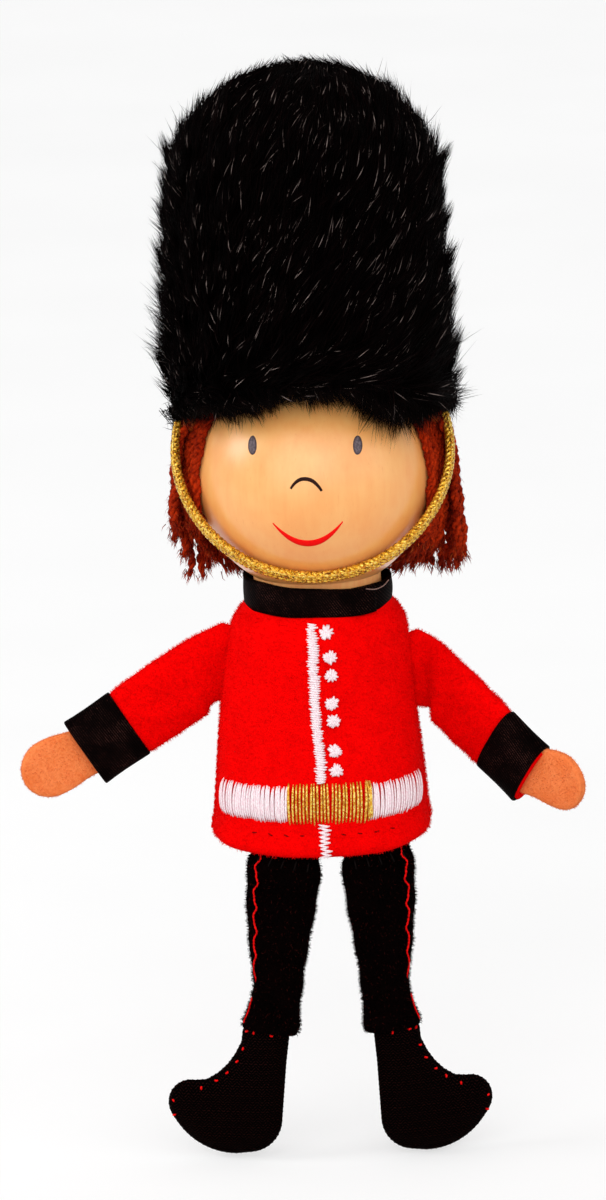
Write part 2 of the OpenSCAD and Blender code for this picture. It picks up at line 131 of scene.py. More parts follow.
def circle(count):
    """Angles evenly round a circle."""
    return np.linspace(0, 2 * math.pi, count, endpoint=False)


def oval(count, wide, deep, power):
    """Coordinates of points round a flattened oval."""
    turns = circle(count)
    return wide * signed_power(np.cos(turns), 2 / power), deep * signed_power(np.sin(turns), 2 / power)


def turn_about(axis, angle):
    """Rotation matrix about x, y or z."""
    return np.array(Matrix.Rotation(angle, 3, axis))


def smooth_path(points, step):
    """Points along a smooth curve through a few points, about one step apart."""
    points = np.asarray(points, float)
    ends = np.vstack([2 * points[0] - points[1], points, 2 * points[-1] - points[-2]])
    share = np.linspace(0, 1, 12, endpoint=False)[:, None]
    fine = []
    for a, b, c, d in zip(ends[:-3], ends[1:-2], ends[2:-1], ends[3:]):
        slope = 0.5 * (c - a)
        bend = a - 2.5 * b + 2 * c - 0.5 * d
        rest = 0.5 * (d - a) + 1.5 * (b - c)
        fine.append(b + slope * share + bend * share ** 2 + rest * share ** 3)
    return evenly(np.vstack([*fine, points[-1:]]), step)


def evenly(path, step):
    """The same path with points about one step apart."""
    run = np.concatenate([[0], np.cumsum(np.linalg.norm(np.diff(path, axis=0), axis=1))])
    places = np.linspace(0, run[-1], max(2, round(run[-1] / step) + 1))
    return np.column_stack([np.interp(places, run, column) for column in path.T])


def frames_along(path):
    """Two directions across a path at each of its points, carried along without twist."""
    tangent = unit(np.gradient(path, axis=0))
    side = np.empty_like(path)
    askew = (0.31, 0.52, 0.79)
    side[0] = unit(np.cross(tangent[0], askew))
    for i in range(1, len(path)):
        side[i] = unit(side[i - 1] - tangent[i] * np.dot(side[i - 1], tangent[i]))
    return side, np.cross(tangent, side)


def grid_faces(rows, columns, closed):
    """Quads between neighbouring rows and columns of a grid of points."""
    last = columns if closed else columns - 1
    row, column = np.meshgrid(np.arange(rows - 1), np.arange(last), indexing="ij")
    here = row * columns + column
    beside = row * columns + (column + 1) % columns
    return np.stack([here, beside, beside + columns, here + columns], axis=-1).reshape(-1, 4)


def outward(points, faces):
    """Faces of a closed skin, turned over if they face inwards."""
    middle = points.mean(axis=0)
    volume = 0.0
    for block in faces:
        corners = points[block] - middle
        for i in range(1, block.shape[1] - 1):
            volume += np.sum(corners[:, 0] * np.cross(corners[:, i], corners[:, i + 1]))
    return faces if volume > 0 else [block[:, ::-1] for block in faces]


def scatter(points, quads, count):
    """Random places on a surface of quads, with the direction out of it at each."""
    triangles = np.vstack([quads[:, [0, 1, 2]], quads[:, [0, 2, 3]]])
    a, b, c = points[triangles].swapaxes(0, 1)
    normal = np.cross(b - a, c - a)
    area = np.linalg.norm(normal, axis=1)
    chosen = chance.choice(len(area), count, p=area / area.sum())
    u, v = chance.random((2, count))
    over = u + v > 1
    u[over], v[over] = 1 - u[over], 1 - v[over]
    places = a[chosen] + u[:, None] * (b - a)[chosen] + v[:, None] * (c - a)[chosen]
    return places, unit(normal[chosen])


def add_object(name, data):
    """A new object in the scene."""
    made = bpy.data.objects.new(name, data)
    bpy.context.scene.collection.objects.link(made)
    return made


class Shape:
    """Points and faces of one piece. Fibres also carry a shade and their share of the way to the tip."""

    def __init__(self):
        self.blocks = []
        self.faces = []
        self.marks = []
        self.count = 0

    def add(self, points, *faces, marks=None):
        points = np.asarray(points, float).reshape(-1, 3)
        self.faces += [np.asarray(block, int) + self.count for block in faces]
        self.blocks.append(points)
        if marks is not None:
            self.marks.append(marks)
        self.count += len(points)
        return self

    def cloth(self, outer, inner, closed=False):
        """Closed shell between two grids of points, each given row by row."""
        outer, inner = np.array(outer), np.array(inner)
        rows, columns = outer.shape[:2]
        size = rows * columns
        low = size - columns
        sheet = grid_faces(rows, columns, closed)
        steps = np.arange(columns if closed else columns - 1)
        nexts = (steps + 1) % columns
        edges = [(nexts, steps), (low + steps, low + nexts)]
        if not closed:
            first = np.arange(rows - 1) * columns
            last = first + columns - 1
            edges += [(first, first + columns), (last + columns, last)]
        rims = [np.stack([a, b, size + b, size + a], axis=1) for a, b in edges]
        points = np.concatenate([outer.reshape(-1, 3), inner.reshape(-1, 3)])
        return self.add(points, *outward(points, [sheet, sheet[:, ::-1] + size, *rims]))

    def loft(self, rings):
        """Closed skin over rings of points, with both ends filled."""
        rings = np.array(rings)
        rows, columns = rings.shape[:2]
        size = rows * columns
        steps = np.arange(columns)
        nexts = (steps + 1) % columns
        start = np.stack([nexts, steps, np.full(columns, size)], axis=1)
        end = np.stack([size - columns + steps, size - columns + nexts, np.full(columns, size + 1)], axis=1)
        points = np.concatenate([rings.reshape(-1, 3), rings[[0, -1]].mean(axis=1)])
        return self.add(points, *outward(points, [grid_faces(rows, columns, True), start, end]))

    def tube(self, path, radius, sides=6):
        """Closed tube along a path. The radius is one number, or one for each point."""
        side, across = frames_along(path)
        turns = circle(sides)[None, :, None]
        radius = np.broadcast_to(radius, len(path))[:, None, None]
        reach = radius * (np.cos(turns) * side[:, None] + np.sin(turns) * across[:, None])
        return self.loft(path[:, None] + reach)

    def twist(self, path, radius, plies, pitch, sides, ends):
        """Plies of a yarn or cord wound round each other along a path, thinner at its ends."""
        side, across = frames_along(path)
        run = np.linspace(0, np.linalg.norm(np.diff(path, axis=0), axis=1).sum(), len(path))
        share = run / run[-1]
        taper = ends + (1 - ends) * np.clip(np.minimum(share, 1 - share) * 12, 0, 1)
        for ply in range(plies):
            angle = (2 * math.pi * (run / pitch + ply / plies))[:, None]
            offset = 0.52 * radius * taper[:, None] * (np.cos(angle) * side + np.sin(angle) * across)
            self.tube(path + offset, 0.56 * radius * taper, sides)
        return self

    def fibres(self, roots, middles, tips, widths, shades):
        """Three-sided fibres that taper from root to tip. A shade from 0 to 1 picks each one's colour."""
        count = len(roots)
        along = unit(tips - roots)
        askew = (0.36, 0.48, 0.8)
        side = unit(np.cross(along, askew))
        across = np.cross(along, side)
        corners = []
        marks = []
        for centre, share, place in ((roots, 0.5, 0.0), (middles, 0.36, 0.5)):
            for corner, turn in enumerate(circle(3)):
                reach = (widths * share)[:, None]
                corners.append(centre + reach * (math.cos(turn) * side + math.sin(turn) * across))
                marks.append(np.column_stack([0.01 + 0.975 * shades + 0.005 * corner,
                                              np.full(count, 0.01 + place + 0.01 * corner)]))
        corners.append(tips)
        marks.append(np.column_stack([0.015 + 0.975 * shades, np.full(count, 0.99)]))
        first = 7 * np.arange(count)[:, None, None]
        sides = first + np.array([[0, 1, 4, 3], [1, 2, 5, 4], [2, 0, 3, 5]])
        ends = first + np.array([[3, 4, 6], [4, 5, 6], [5, 3, 6], [0, 2, 1]])
        return self.add(np.stack(corners, axis=1), sides.reshape(-1, 4), ends.reshape(-1, 3),
                        marks=np.stack(marks, axis=1).reshape(-1, 2))

    def piece(self, name, material, body=None, replaces=(), place=None, mirror=False):
        """Makes the Blender object. place moves its points, and mirror turns its faces over."""
        points = np.vstack(self.blocks)
        if place:
            points = place(points)
        faces = [block[:, ::-1] for block in self.faces] if mirror else self.faces
        corners = np.concatenate([block.ravel() for block in faces]).astype(np.int32)
        sizes = np.concatenate([np.full(len(block), block.shape[1]) for block in faces])
        mesh = bpy.data.meshes.new(name)
        mesh.vertices.add(len(points))
        mesh.vertices.foreach_set("co", (points * MM).astype(np.float32).ravel())
        mesh.loops.add(len(corners))
        mesh.loops.foreach_set("vertex_index", corners)
        mesh.polygons.add(len(sizes))
        mesh.polygons.foreach_set("loop_start", (np.cumsum(sizes) - sizes).astype(np.int32))
        mesh.update(calc_edges=True)
        mesh.polygons.foreach_set("use_smooth", np.full(len(sizes), True))
        if self.marks:
            self.write_marks(mesh, corners)
        mesh.materials.append(material)
        made = add_object(name, mesh)
        if replaces:
            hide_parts(*replaces)
        if body:
            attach(made, body)
        return made

    def write_marks(self, mesh, corners):
        """Keeps each fibre's shade and length share, and maps equal colours to equal places for baking."""
        marks = np.vstack(self.marks).astype(np.float32)
        for column, name in enumerate(("shade", "along")):
            mesh.attributes.new(name, "FLOAT", "POINT").data.foreach_set("value", marks[:, column].copy())
        layer = mesh.uv_layers.new(name="OFBake")
        layer.uv.foreach_set("vector", marks[corners].ravel())


def nap(grid, count, length, width, lean=(0, 0, 0), spread=0.45, closed=True, top=math.inf):
    """Short fibres standing on a grid of cloth, below a height."""
    points = grid.reshape(-1, 3)
    places, normals = scatter(points, grid_faces(*grid.shape[:2], closed), count)
    if np.sum(normals * (places - points.mean(axis=0))) < 0:
        normals = -normals
    below = places[:, 2] < top
    places, normals = places[below], normals[below]
    count = len(places)
    out = unit(normals + np.asarray(lean) + spread * chance.normal(size=(count, 3)))
    reach = (length * chance.uniform(0.5, 1.2, count))[:, None]
    bent = unit(out + 0.5 * chance.normal(size=(count, 3)))
    middles = places + 0.5 * reach * out
    tips = middles + 0.5 * reach * bent
    widths = width * chance.uniform(0.7, 1.3, count)
    return Shape().fibres(places - 0.05 * normals, middles, tips, widths, chance.random(count))


# Materials

def seen(red, green, blue):
    """Linear colour from the 0 to 255 values it shows on a screen."""
    values = np.array([red, green, blue]) / 255
    linear = np.where(values <= 0.04045, values / 12.92, ((values + 0.055) / 1.055) ** 2.4)
    return (*linear.tolist(), 1.0)


class Finish:
    """A node material with one Principled shader, and short ways to add to it."""

    def __init__(self, name, slot, **values):
        self.material = bpy.data.materials.new(name)
        self.material.use_nodes = True
        self.material["slot"] = slot
        self.nodes = self.material.node_tree.nodes
        self.links = self.material.node_tree.links
        self.shader = self.nodes["Principled BSDF"].inputs
        for key, value in values.items():
            self.shader[key.replace("_", " ").title().replace("Ior", "IOR")].default_value = value

    def node(self, kind, inputs=(), **settings):
        made = self.nodes.new("ShaderNode" + kind)
        for key, value in settings.items():
            setattr(made, key, value)
        for key, value in dict(inputs).items():
            if isinstance(value, bpy.types.NodeSocket):
                self.links.new(value, made.inputs[key])
            else:
                made.inputs[key].default_value = value
        return made

    def place(self, scale=(1, 1, 1)):
        """Object coordinates in millimetres, scaled along each axis."""
        coordinates = self.node("TexCoord").outputs["Object"]
        factor = [value / MM for value in scale]
        return self.node("Mapping", {"Vector": coordinates, "Scale": factor}).outputs["Vector"]

    def xyz(self):
        """Object coordinates in millimetres, one by one."""
        return self.node("SeparateXYZ", {"Vector": self.place()}).outputs

    def mark(self, name):
        """What each fibre carries: its shade, or the share along it."""
        return self.node("Attribute", attribute_name=name).outputs["Fac"]

    def noise(self, scale, detail=3.0, stretch=(1, 1, 1)):
        """Random pattern from 0 to 1, with its scale per millimetre."""
        inputs = {"Vector": self.place(stretch), "Scale": scale, "Detail": detail, "Roughness": 0.55}
        return self.node("TexNoise", inputs).outputs["Fac"]

    def math(self, operation, first, second=0.5):
        return self.node("Math", {0: first, 1: second}, operation=operation).outputs[0]

    def add(self, first, second, weight):
        """The first plus a share of the second."""
        return self.math("ADD", first, self.math("MULTIPLY", second, weight))

    def sine(self, socket, rate):
        return self.math("SINE", self.math("MULTIPLY", socket, rate))

    def ramp(self, factor, *stops):
        """Colours at places from 0 to 1."""
        made = self.node("ValToRGB", {"Fac": factor})
        for _ in stops[2:]:
            made.color_ramp.elements.new(0.5)
        for element, (place, colour) in zip(made.color_ramp.elements, stops):
            element.position = place
            element.color = colour
        return made.outputs["Color"]

    def mix(self, factor, first, second, blend="MIX"):
        inputs = {"Fac": factor, "Color1": first, "Color2": second}
        return self.node("MixRGB", inputs, blend_type=blend).outputs["Color"]

    def done(self, colour, rough=None, bump=None):
        """Links the colour, the roughness (socket, low, high) and the bump (socket, height, strength)."""
        self.links.new(colour, self.shader["Base Color"])
        if rough:
            limits = dict(zip(("Value", "To Min", "To Max"), rough))
            self.links.new(self.node("MapRange", limits).outputs["Result"], self.shader["Roughness"])
        if bump:
            socket, height, strength = bump
            relief = self.node("Bump", {"Height": socket, "Strength": strength, "Distance": height * MM})
            self.links.new(relief.outputs["Normal"], self.shader["Normal"])
        return self.material


def varnished_wood():
    """Pale wood, varnished amber: faint upright grain, clouds and pores, and painted shade that makes it
    deeper orange and darker towards the bottom.
    """
    finish = Finish("varnished_wood", "varnished_wood", coat_weight=1.0, coat_roughness=0.32, coat_ior=1.58,
                    specular_ior_level=0.25)
    grain = finish.noise(0.8, 4.0, (1.6, 1.6, 0.14))
    base = finish.ramp(grain, (0.3, seen(250, 169, 91)), (0.52, seen(254, 182, 103)),
                       (0.75, seen(255, 193, 114)))
    tone = finish.ramp(finish.noise(0.2), (0.35, seen(252, 171, 91)), (0.65, seen(255, 192, 115)))
    pores = finish.ramp(finish.noise(5.0, 2.0, (1, 1, 0.1)), (0.64, WHITE), (0.76, seen(240, 214, 186)))
    # Painted shade: the wood grows deeper orange and darker towards the bottom of the head.
    limits = {"Value": finish.xyz()["Z"], "From Min": HEAD_Z - HEAD_R, "From Max": HEAD_Z + 9}
    height = finish.node("MapRange", limits).outputs["Result"]
    painted_shade_below = finish.ramp(height, (0.0, seen(252, 232, 222)), (0.5, seen(254, 246, 242)), (1.0, WHITE))
    both = finish.mix(0.45, finish.mix(0.6, base, tone), pores, "MULTIPLY")
    return finish.done(finish.mix(1.0, both, painted_shade_below, "MULTIPLY"), (grain, 0.4, 0.52), (grain, 0.015, 0.2))


def plain_wood():
    """Bare wood of the neck tube."""
    finish = Finish("plain_wood", "plain_wood")
    grain = finish.noise(1.2, 3.0, (2, 2, 0.3))
    shown = finish.ramp(grain, (0.3, seen(252, 168, 98)), (0.7, seen(255, 188, 116)))
    return finish.done(shown, (grain, 0.6, 0.8), (grain, 0.03, 0.4))


def paint(name, low, high):
    """Hand paint, a little uneven."""
    finish = Finish(name, "varnished_wood", specular_ior_level=0.12)
    strokes = finish.noise(3.5, 4.0)
    shown = finish.ramp(strokes, (0.35, low), (0.65, high))
    return finish.done(shown, (strokes, 0.4, 0.6), (strokes, 0.02, 0.5))


def thread(name, slot, low, high, roughness=0.5, gloss=0.2):
    """Embroidery thread with fine strands."""
    finish = Finish(name, slot, specular_ior_level=gloss)
    strands = finish.noise(9.0, 3.0, (1, 1, 0.35))
    shown = finish.ramp(strands, (0.32, low), (0.62, high))
    return finish.done(shown, (strands, roughness - 0.12, roughness + 0.12), (strands, 0.05, 0.6))


def cloth(name, slot, low, high, grain=4.0, height=0.06, roughness=0.9, gloss=0.06):
    """Felted or napped cloth, mottled at two scales."""
    finish = Finish(name, slot, specular_ior_level=gloss)
    fine = finish.noise(grain, 5.0)
    both = finish.add(finish.math("MULTIPLY", fine, 0.6), finish.noise(0.35), 0.4)
    shown = finish.ramp(both, (0.36, low), (0.62, high))
    return finish.done(shown, (fine, roughness - 0.1, min(1.0, roughness + 0.1)), (fine, height, 0.8))


def fibre(name, slot, dark, middle, bright, rare=0.9, roughness=0.7, gloss=0.1, root=0.35):
    """Fibres: most of one colour, the rare ones brighter, all darker at the root with painted shade."""
    finish = Finish(name, slot, roughness=roughness, specular_ior_level=gloss)
    own = finish.ramp(finish.mark("shade"), (0.0, dark), (rare - 0.1, middle), (rare, middle), (1.0, bright))
    # Painted shade: each fibre darkens towards its root, as deep in the pile where less light falls.
    painted_root_shade = finish.ramp(finish.mark("along"), (0.0, (root, root, root, 1)), (0.6, WHITE))
    return finish.done(finish.mix(1.0, own, painted_root_shade, "MULTIPLY"))


def black_fur():
    """Long hairs: near black, with a glint halfway along a few of them."""
    finish = Finish("black_fur", "black_fur", roughness=0.5, specular_ior_level=0.02)
    shade = finish.mark("shade")
    own = finish.ramp(shade, (0.0, BLACK), (0.7, seen(6, 2, 2)), (0.95, seen(20.6, 8, 8)))
    chosen = finish.ramp(shade, (0.955, BLACK), (0.998, WHITE))
    lit = finish.ramp(finish.mark("along"), (0.3, BLACK), (0.45, WHITE), (0.6, WHITE), (0.75, BLACK))
    glint = finish.mix(1.0, chosen, lit, "MULTIPLY")
    return finish.done(finish.mix(glint, own, seen(214, 192, 184)))


def black_satin():
    """Satin ribbon: fine slanting floats that catch a little brown light here and there."""
    finish = Finish("black_satin", "black_satin", specular_ior_level=0.012)
    place = finish.xyz()
    waves = finish.sine(finish.add(place["X"], place["Z"], 0.7), 19.0)
    floats = finish.math("ADD", finish.math("MULTIPLY", waves, 0.5), 0.5)
    flecks = finish.noise(6.0, 2.0, (1, 1, 1.6))
    broad = finish.math("ADD", finish.noise(0.28, 2.0), 0.4)
    both = finish.math("MULTIPLY", finish.math("MULTIPLY", floats, flecks), broad)
    shown = finish.ramp(both, (0.22, seen(2, 0, 0)), (0.45, seen(14, 5, 5)), (0.68, seen(84, 52, 46)))
    return finish.done(shown, (flecks, 0.5, 0.7), (floats, 0.05, 0.6))


def black_twill():
    """Herringbone twill: slanting ribs whose slant turns back every few threads, with painted brown glints on
    them.
    """
    finish = Finish("black_twill", "black_twill", specular_ior_level=0.01)
    place = finish.xyz()
    turn = finish.math("PINGPONG", place["X"], 0.62)
    ribs = finish.sine(finish.math("ADD", turn, place["Z"]), 15.0)
    weave = finish.add(finish.math("MULTIPLY", ribs, 0.4), finish.sine(place["Z"], 21.0), 0.14)
    fuzz = finish.noise(6.0, 4.0)
    # The rib pattern is the weave's own; the brown where ribs and fuzz rise highest is painted glints.
    shown = finish.ramp(finish.add(weave, fuzz, 0.8), (0.35, BLACK), (0.66, seen(4, 1, 1)),
                        (1.0, seen(44, 18, 15)))
    return finish.done(shown, (fuzz, 0.7, 0.95), (weave, 0.16, 0.9))


def gold(name, dark, bright, metallic):
    """Metallic yarn: tiny foil facets, each turned its own way, and each given a lighter or darker gold as
    painted glints and shade.
    """
    finish = Finish(name, "gold_cord", metallic=metallic)
    facets = finish.node("TexVoronoi", {"Vector": finish.place(), "Scale": 5.0, "Randomness": 1.0})
    pick = finish.node("SeparateColor", {"Color": facets.outputs["Color"]}).outputs
    # Painted glints and shade: each facet is coloured from dark brown to pale gold at random.
    shown = finish.ramp(pick["Red"], (0.08, dark), (0.45, seen(226, 166, 26)), (0.92, bright))
    return finish.done(shown, (pick["Green"], 0.16, 0.5), (pick["Blue"], 0.16, 0.7))


def white_floor():
    """Pale floor that keeps the puppet's shadow and looks white to the camera."""
    finish = Finish("floor", "floor", roughness=0.9, specular_ior_level=0.0, emission_color=WHITE)
    path = finish.node("LightPath").outputs
    looked_at = finish.math("MAXIMUM", path["Is Camera Ray"], path["Is Glossy Ray"])
    looked_at = finish.math("MAXIMUM", looked_at, path["Is Transmission Ray"])
    finish.links.new(finish.math("MULTIPLY", looked_at, 0.53), finish.shader["Emission Strength"])
    soft = finish.noise(0.02, 2.0)
    return finish.done(finish.ramp(soft, (0.3, (0.5, 0.5, 0.5, 1)), (0.7, (0.52, 0.52, 0.52, 1))))


WOOD = varnished_wood()
TUBE_WOOD = plain_wood()
EYE_GREY = paint("eye_grey", seen(84, 74, 80), seen(124, 110, 116))
EYE_LINE = paint("eye_line", seen(66, 54, 60), seen(96, 82, 88))
NOSE_PAINT = paint("nose_paint", seen(24, 5, 2), seen(44, 12, 6))
MOUTH_PAINT = paint("mouth_paint", seen(246, 3, 2), seen(255, 8, 4))
HAT_CLOTH = cloth("hat_cloth", "black_fur", BLACK, seen(4, 2, 2), gloss=0.01)
FUR = black_fur()
YARN = cloth("auburn_yarn", "auburn_yarn", seen(88, 5, 1), seen(192, 50, 9), 2.6, 0.12, 0.85)
YARN_FUZZ = fibre("auburn_fuzz", "auburn_yarn", seen(124, 14, 2), seen(188, 52, 11), seen(228, 108, 44))
GOLD = gold("gold_cord", seen(120, 66, 6), seen(255, 214, 92), 0.7)
GOLD_THREAD = gold("gold_thread", seen(200, 122, 16), seen(255, 228, 120), 0.4)
STRAP_LINE = thread("strap_line", "gold_cord", seen(140, 44, 8), seen(196, 84, 16))
SATIN = black_satin()
# The white thread is tinted pink: painted red light, as bounced from the velour around it.
WHITE_THREAD = thread("white_thread", "white_thread", seen(240, 202, 212), seen(255, 244, 246))
RED_THREAD = thread("red_thread", "red_thread", seen(206, 0, 0), seen(250, 14, 12), 0.6, 0.06)
DARK_THREAD = thread("dark_thread", "dark_thread", seen(84, 0, 0), seen(128, 4, 4), 0.7, 0.05)
HIP_THREAD = thread("hip_thread", "dark_thread", seen(3, 2, 2), seen(20, 12, 11), 0.7, 0.05)
LOOSE_THREAD = thread("loose_thread", "black_satin", seen(104, 78, 72), seen(164, 134, 124))
BLACK_THREAD = thread("black_thread", "black_twill", seen(3, 2, 2), seen(22, 14, 12), 0.7, 0.06)
VELOUR = cloth("red_velour", "red_velour", seen(228, 0, 0), seen(254, 1, 1), 5.0, gloss=0.03)
VELOUR_PILE = fibre("red_pile", "red_velour", seen(246, 0, 0), seen(255, 2, 2), seen(255, 40, 34),
                    rare=0.92, roughness=0.8, gloss=0.03, root=0.92)
FELT = cloth("felt", "felt", seen(236, 118, 58), seen(250, 142, 82), 3.2, 0.05, 0.95)
FELT_PILE = fibre("felt_pile", "felt", seen(234, 116, 56), seen(252, 144, 86), seen(255, 182, 128),
                  rare=0.85, roughness=0.85, gloss=0.05, root=0.85)
TWILL = black_twill()
FLEECE = cloth("black_fleece", "black_fleece", BLACK, seen(8, 2, 2), 3.4, 0.2, 0.95, 0.01)
# Its rare brown fibres are painted glints on the black pile.
FLEECE_PILE = fibre("fleece_pile", "black_fleece", seen(1, 0, 0), seen(13, 3, 3), seen(84, 30, 25),
                    rare=0.86, roughness=0.75, gloss=0.02, root=0.6)
WADDING = cloth("wadding", "wadding", seen(220, 216, 206), seen(244, 242, 236), 1.4, 0.3)


# Hat of long black fur

# Height above the middle of the head, and radius, of the cloth below the fur
HAT_PROFILE = np.array([[2, 17.2], [12, 16.9], [20, 16.65], [27, 16.4], [34, 16.15], [36.5, 16.0], [40, 15.4],
                        [43.5, 13.9], [46.5, 11.5], [48.7, 8.6], [50, 5.6], [50.8, 2.6], [51, 0.01]])
HAT_CLOTH_R = HAT_PROFILE[0, 1]
# Angle from the puppet's left and height above the middle of the head, where larger tufts stand out
FUR_CLUMPS = np.array([[-8, 41], [2, 37], [-6, 34.5], [-4, 32], [-2, 29.5], [-8, 25], [5, 19], [-3, 13.5],
                       [176, 38], [184, 30.5], [178, 25], [186, 19], [179, 15.5], [183, 12], [250, 47.5],
                       [300, 47.5], [330, 44.5], [215, 45]])
FUR_TUFTS = 3400
FUR_WISPS = 220
FRINGE_TUFTS = 760
TEMPLE_TUFTS = 150
# The fur's parts, and the heights that divide them
FUR_PARTS = ("crown", "front_low", "front_high", "back_low", "back_high")
FUR_CROWN_Z = HEAD_Z + 38
FUR_LOW_Z = HEAD_Z + 21


def hat_hem(y):
    """Height of the hat's tilted hem above the middle of the head."""
    return HAT_HEM - HAT_TILT * y


def hat_outline(count):
    """Heights and radii evenly along the hat's profile, from the lowest to the top, and the slope there."""
    reach = 12
    window = np.ones(2 * reach + 1) / (2 * reach + 1)
    line = np.pad(evenly(HAT_PROFILE, 0.1), ((reach, reach), (0, 0)), "edge")
    soft = np.column_stack([np.convolve(column, window, "valid") for column in line.T])
    chosen = np.linspace(0, len(soft) - 1, count).round().astype(int)
    return soft[chosen], unit(np.gradient(soft, axis=0))[chosen]


def ball_reach(angle):
    """Radius at which the hat's hem plane meets the head, all round."""
    tilt = HAT_TILT * np.sin(angle)
    a = 1 + tilt ** 2
    b = -2 * HAT_HEM * tilt
    c = HAT_HEM ** 2 - (HEAD_R + 0.2) ** 2
    return (-b + np.sqrt(b * b - 4 * a * c)) / (2 * a)


def make_hat_cloth():
    """Fur backing: up the side and over the crown outside, and turned in to the head below."""
    angle = circle(96)
    ring = np.column_stack([np.cos(angle), np.sin(angle)])
    line, _ = hat_outline(46)
    rows = []
    for share in (0.0, 0.5):
        reach = ball_reach(angle) + share * (HAT_CLOTH_R - ball_reach(angle))
        rows.append(np.column_stack([ring * reach[:, None], HEAD_Z + 0.5 + hat_hem(ring[:, 1] * reach)]))
    for height, radius in line:
        hem = hat_hem(radius * ring[:, 1])
        lift = np.maximum(height, hem + 0.02 * (height - HAT_PROFILE[0, 0]))
        width = np.where(lift > height, np.interp(lift, *line.T), radius)
        rows.append(np.column_stack([ring * width[:, None], HEAD_Z + lift]))
    hat = Shape().loft(rows).piece("hat_cloth", HAT_CLOTH, "head", ["hat_side", "hat_crown"])


def tufts_at(angle, height, radius, slope):
    """Middles of tufts on the hat, and the directions there: out of it, up along it and round it."""
    ring = np.column_stack([np.cos(angle), np.sin(angle), np.zeros(len(angle))])
    middle = np.column_stack([radius * np.cos(angle), radius * np.sin(angle), HEAD_Z + height])
    out = ring * slope[:, :1] - UP * slope[:, 1:]
    up = ring * slope[:, 1:] + UP * slope[:, :1]
    return np.stack([middle, out, up, np.cross(UP, ring)])


def add_fur(shapes, tufts, direction, length, strands, loose):
    """Strands of each tuft: spread at the root, drawn together at the tip."""
    tuft = np.repeat(np.arange(len(length)), strands)
    middle, out, up, round_it = tufts[:, tuft]
    count = len(tuft)
    spread = chance.normal(size=(count, 2)) * 0.8
    offset = spread[:, :1] * up + spread[:, 1:] * round_it
    roots = middle + offset - 0.15 * out
    reach = (length[tuft] * chance.uniform(0.7, 1.15, count))[:, None]
    stray = chance.normal(size=(count, 3)) * loose
    tips = middle + 0.35 * offset + direction[tuft] * reach + stray
    halfway = 0.52 * roots + 0.48 * tips + 0.06 * reach * out
    widths = chance.uniform(0.07, 0.13, count)
    shades = chance.random(count)
    front = roots[:, 1] < 0
    crown = roots[:, 2] > FUR_CROWN_Z
    low = roots[:, 2] < FUR_LOW_Z
    parts = (crown, front & low, front & ~low & ~crown, ~front & low, ~front & ~low & ~crown)
    for shape, chosen in zip(shapes, parts):
        shape.fibres(roots[chosen], halfway[chosen], tips[chosen], widths[chosen], shades[chosen])


def add_coat(shapes):
    """Tufts all over the hat, swept up and to the viewer's right in front, and a few wild wisps."""
    line, slope = hat_outline(500)
    weight = line[:, 1] + 0.4
    # More places than needed, because those below the hem are dropped
    pick = chance.choice(len(line), 3 * FUR_TUFTS, p=weight / weight.sum())
    angle = chance.uniform(0, 2 * math.pi, 3 * FUR_TUFTS)
    height, radius = line[pick].T
    kept = np.flatnonzero(height > hat_hem(radius * np.sin(angle)))[:FUR_TUFTS]
    height = height[kept]
    count = len(kept)
    tufts = tufts_at(angle[kept], height, radius[kept], slope[pick[kept]])
    middle, out, up, round_it = tufts
    above = height - hat_hem(middle[:, 1])
    sweep = np.interp(height, [8, 22, 40], [0.8, 0.55, 0.3])[:, None]
    rise = np.interp(above, [0, 1.5, 5], [-0.2, 0.35, 0.9])[:, None]
    right = np.clip(-middle[:, 0] / np.hypot(middle[:, 0], middle[:, 1] + 0.01), -1, 1)
    fuller = np.interp(height, [8, 11, 15, 22, 30, 36], [-0.3, -0.15, 0.2, 0.22, 0.1, 0])
    flatter = np.interp(height, [16, 22, 32, 38], [0, 0.14, 0.14, 0])
    stand = np.interp(height, [8, 14, 34, 44], [0.2, 0.3, 0.2, 0.12])
    stand += fuller * np.maximum(right, 0) - flatter * np.maximum(-right, 0)
    stray = chance.normal(size=(count, 3)) * 0.16
    direction = unit(stand[:, None] * out + rise * up + sweep * round_it + stray)
    length = np.interp(height, [10, 40, 50], [5.2, 4.6, 2.8]) * chance.uniform(0.8, 1.15, count)
    add_fur(shapes, tufts, direction, length, strands=18, loose=0.28)
    wisps = chance.choice(count, FUR_WISPS, replace=False)
    wild = unit(direction[wisps] + 0.25 * out[wisps] + 0.25 * chance.normal(size=(FUR_WISPS, 3)))
    add_fur(shapes, tufts[:, wisps], wild, 1.3 * length[wisps], strands=2, loose=0.25)


def add_clumps(shapes):
    """Larger tufts that break the hat's outline."""
    degrees, height = FUR_CLUMPS.T
    count = len(height)
    line, slopes = hat_outline(500)
    slope = np.column_stack([np.interp(height, line[:, 0], column) for column in slopes.T])
    tufts = tufts_at(np.radians(degrees), height, np.interp(height, *HAT_PROFILE.T), slope)
    _, out, up, _ = tufts
    direction = unit(0.42 * out + 0.87 * up + 0.12 * chance.normal(size=(count, 3)))
    add_fur(shapes, tufts, direction, chance.uniform(4.0, 5.2, count), strands=115, loose=0.33)


def fringe_drop(angle):
    """How much lower the fringe hangs over the forehead: most above the eyes' outer sides."""
    turn = np.degrees(np.arctan2(np.cos(angle), -np.sin(angle)))
    return 2.2 * bell(turn, -42, 16) + 4.6 * bell(turn, 44, 17) + 0.9 * bell(turn, 3, 5)


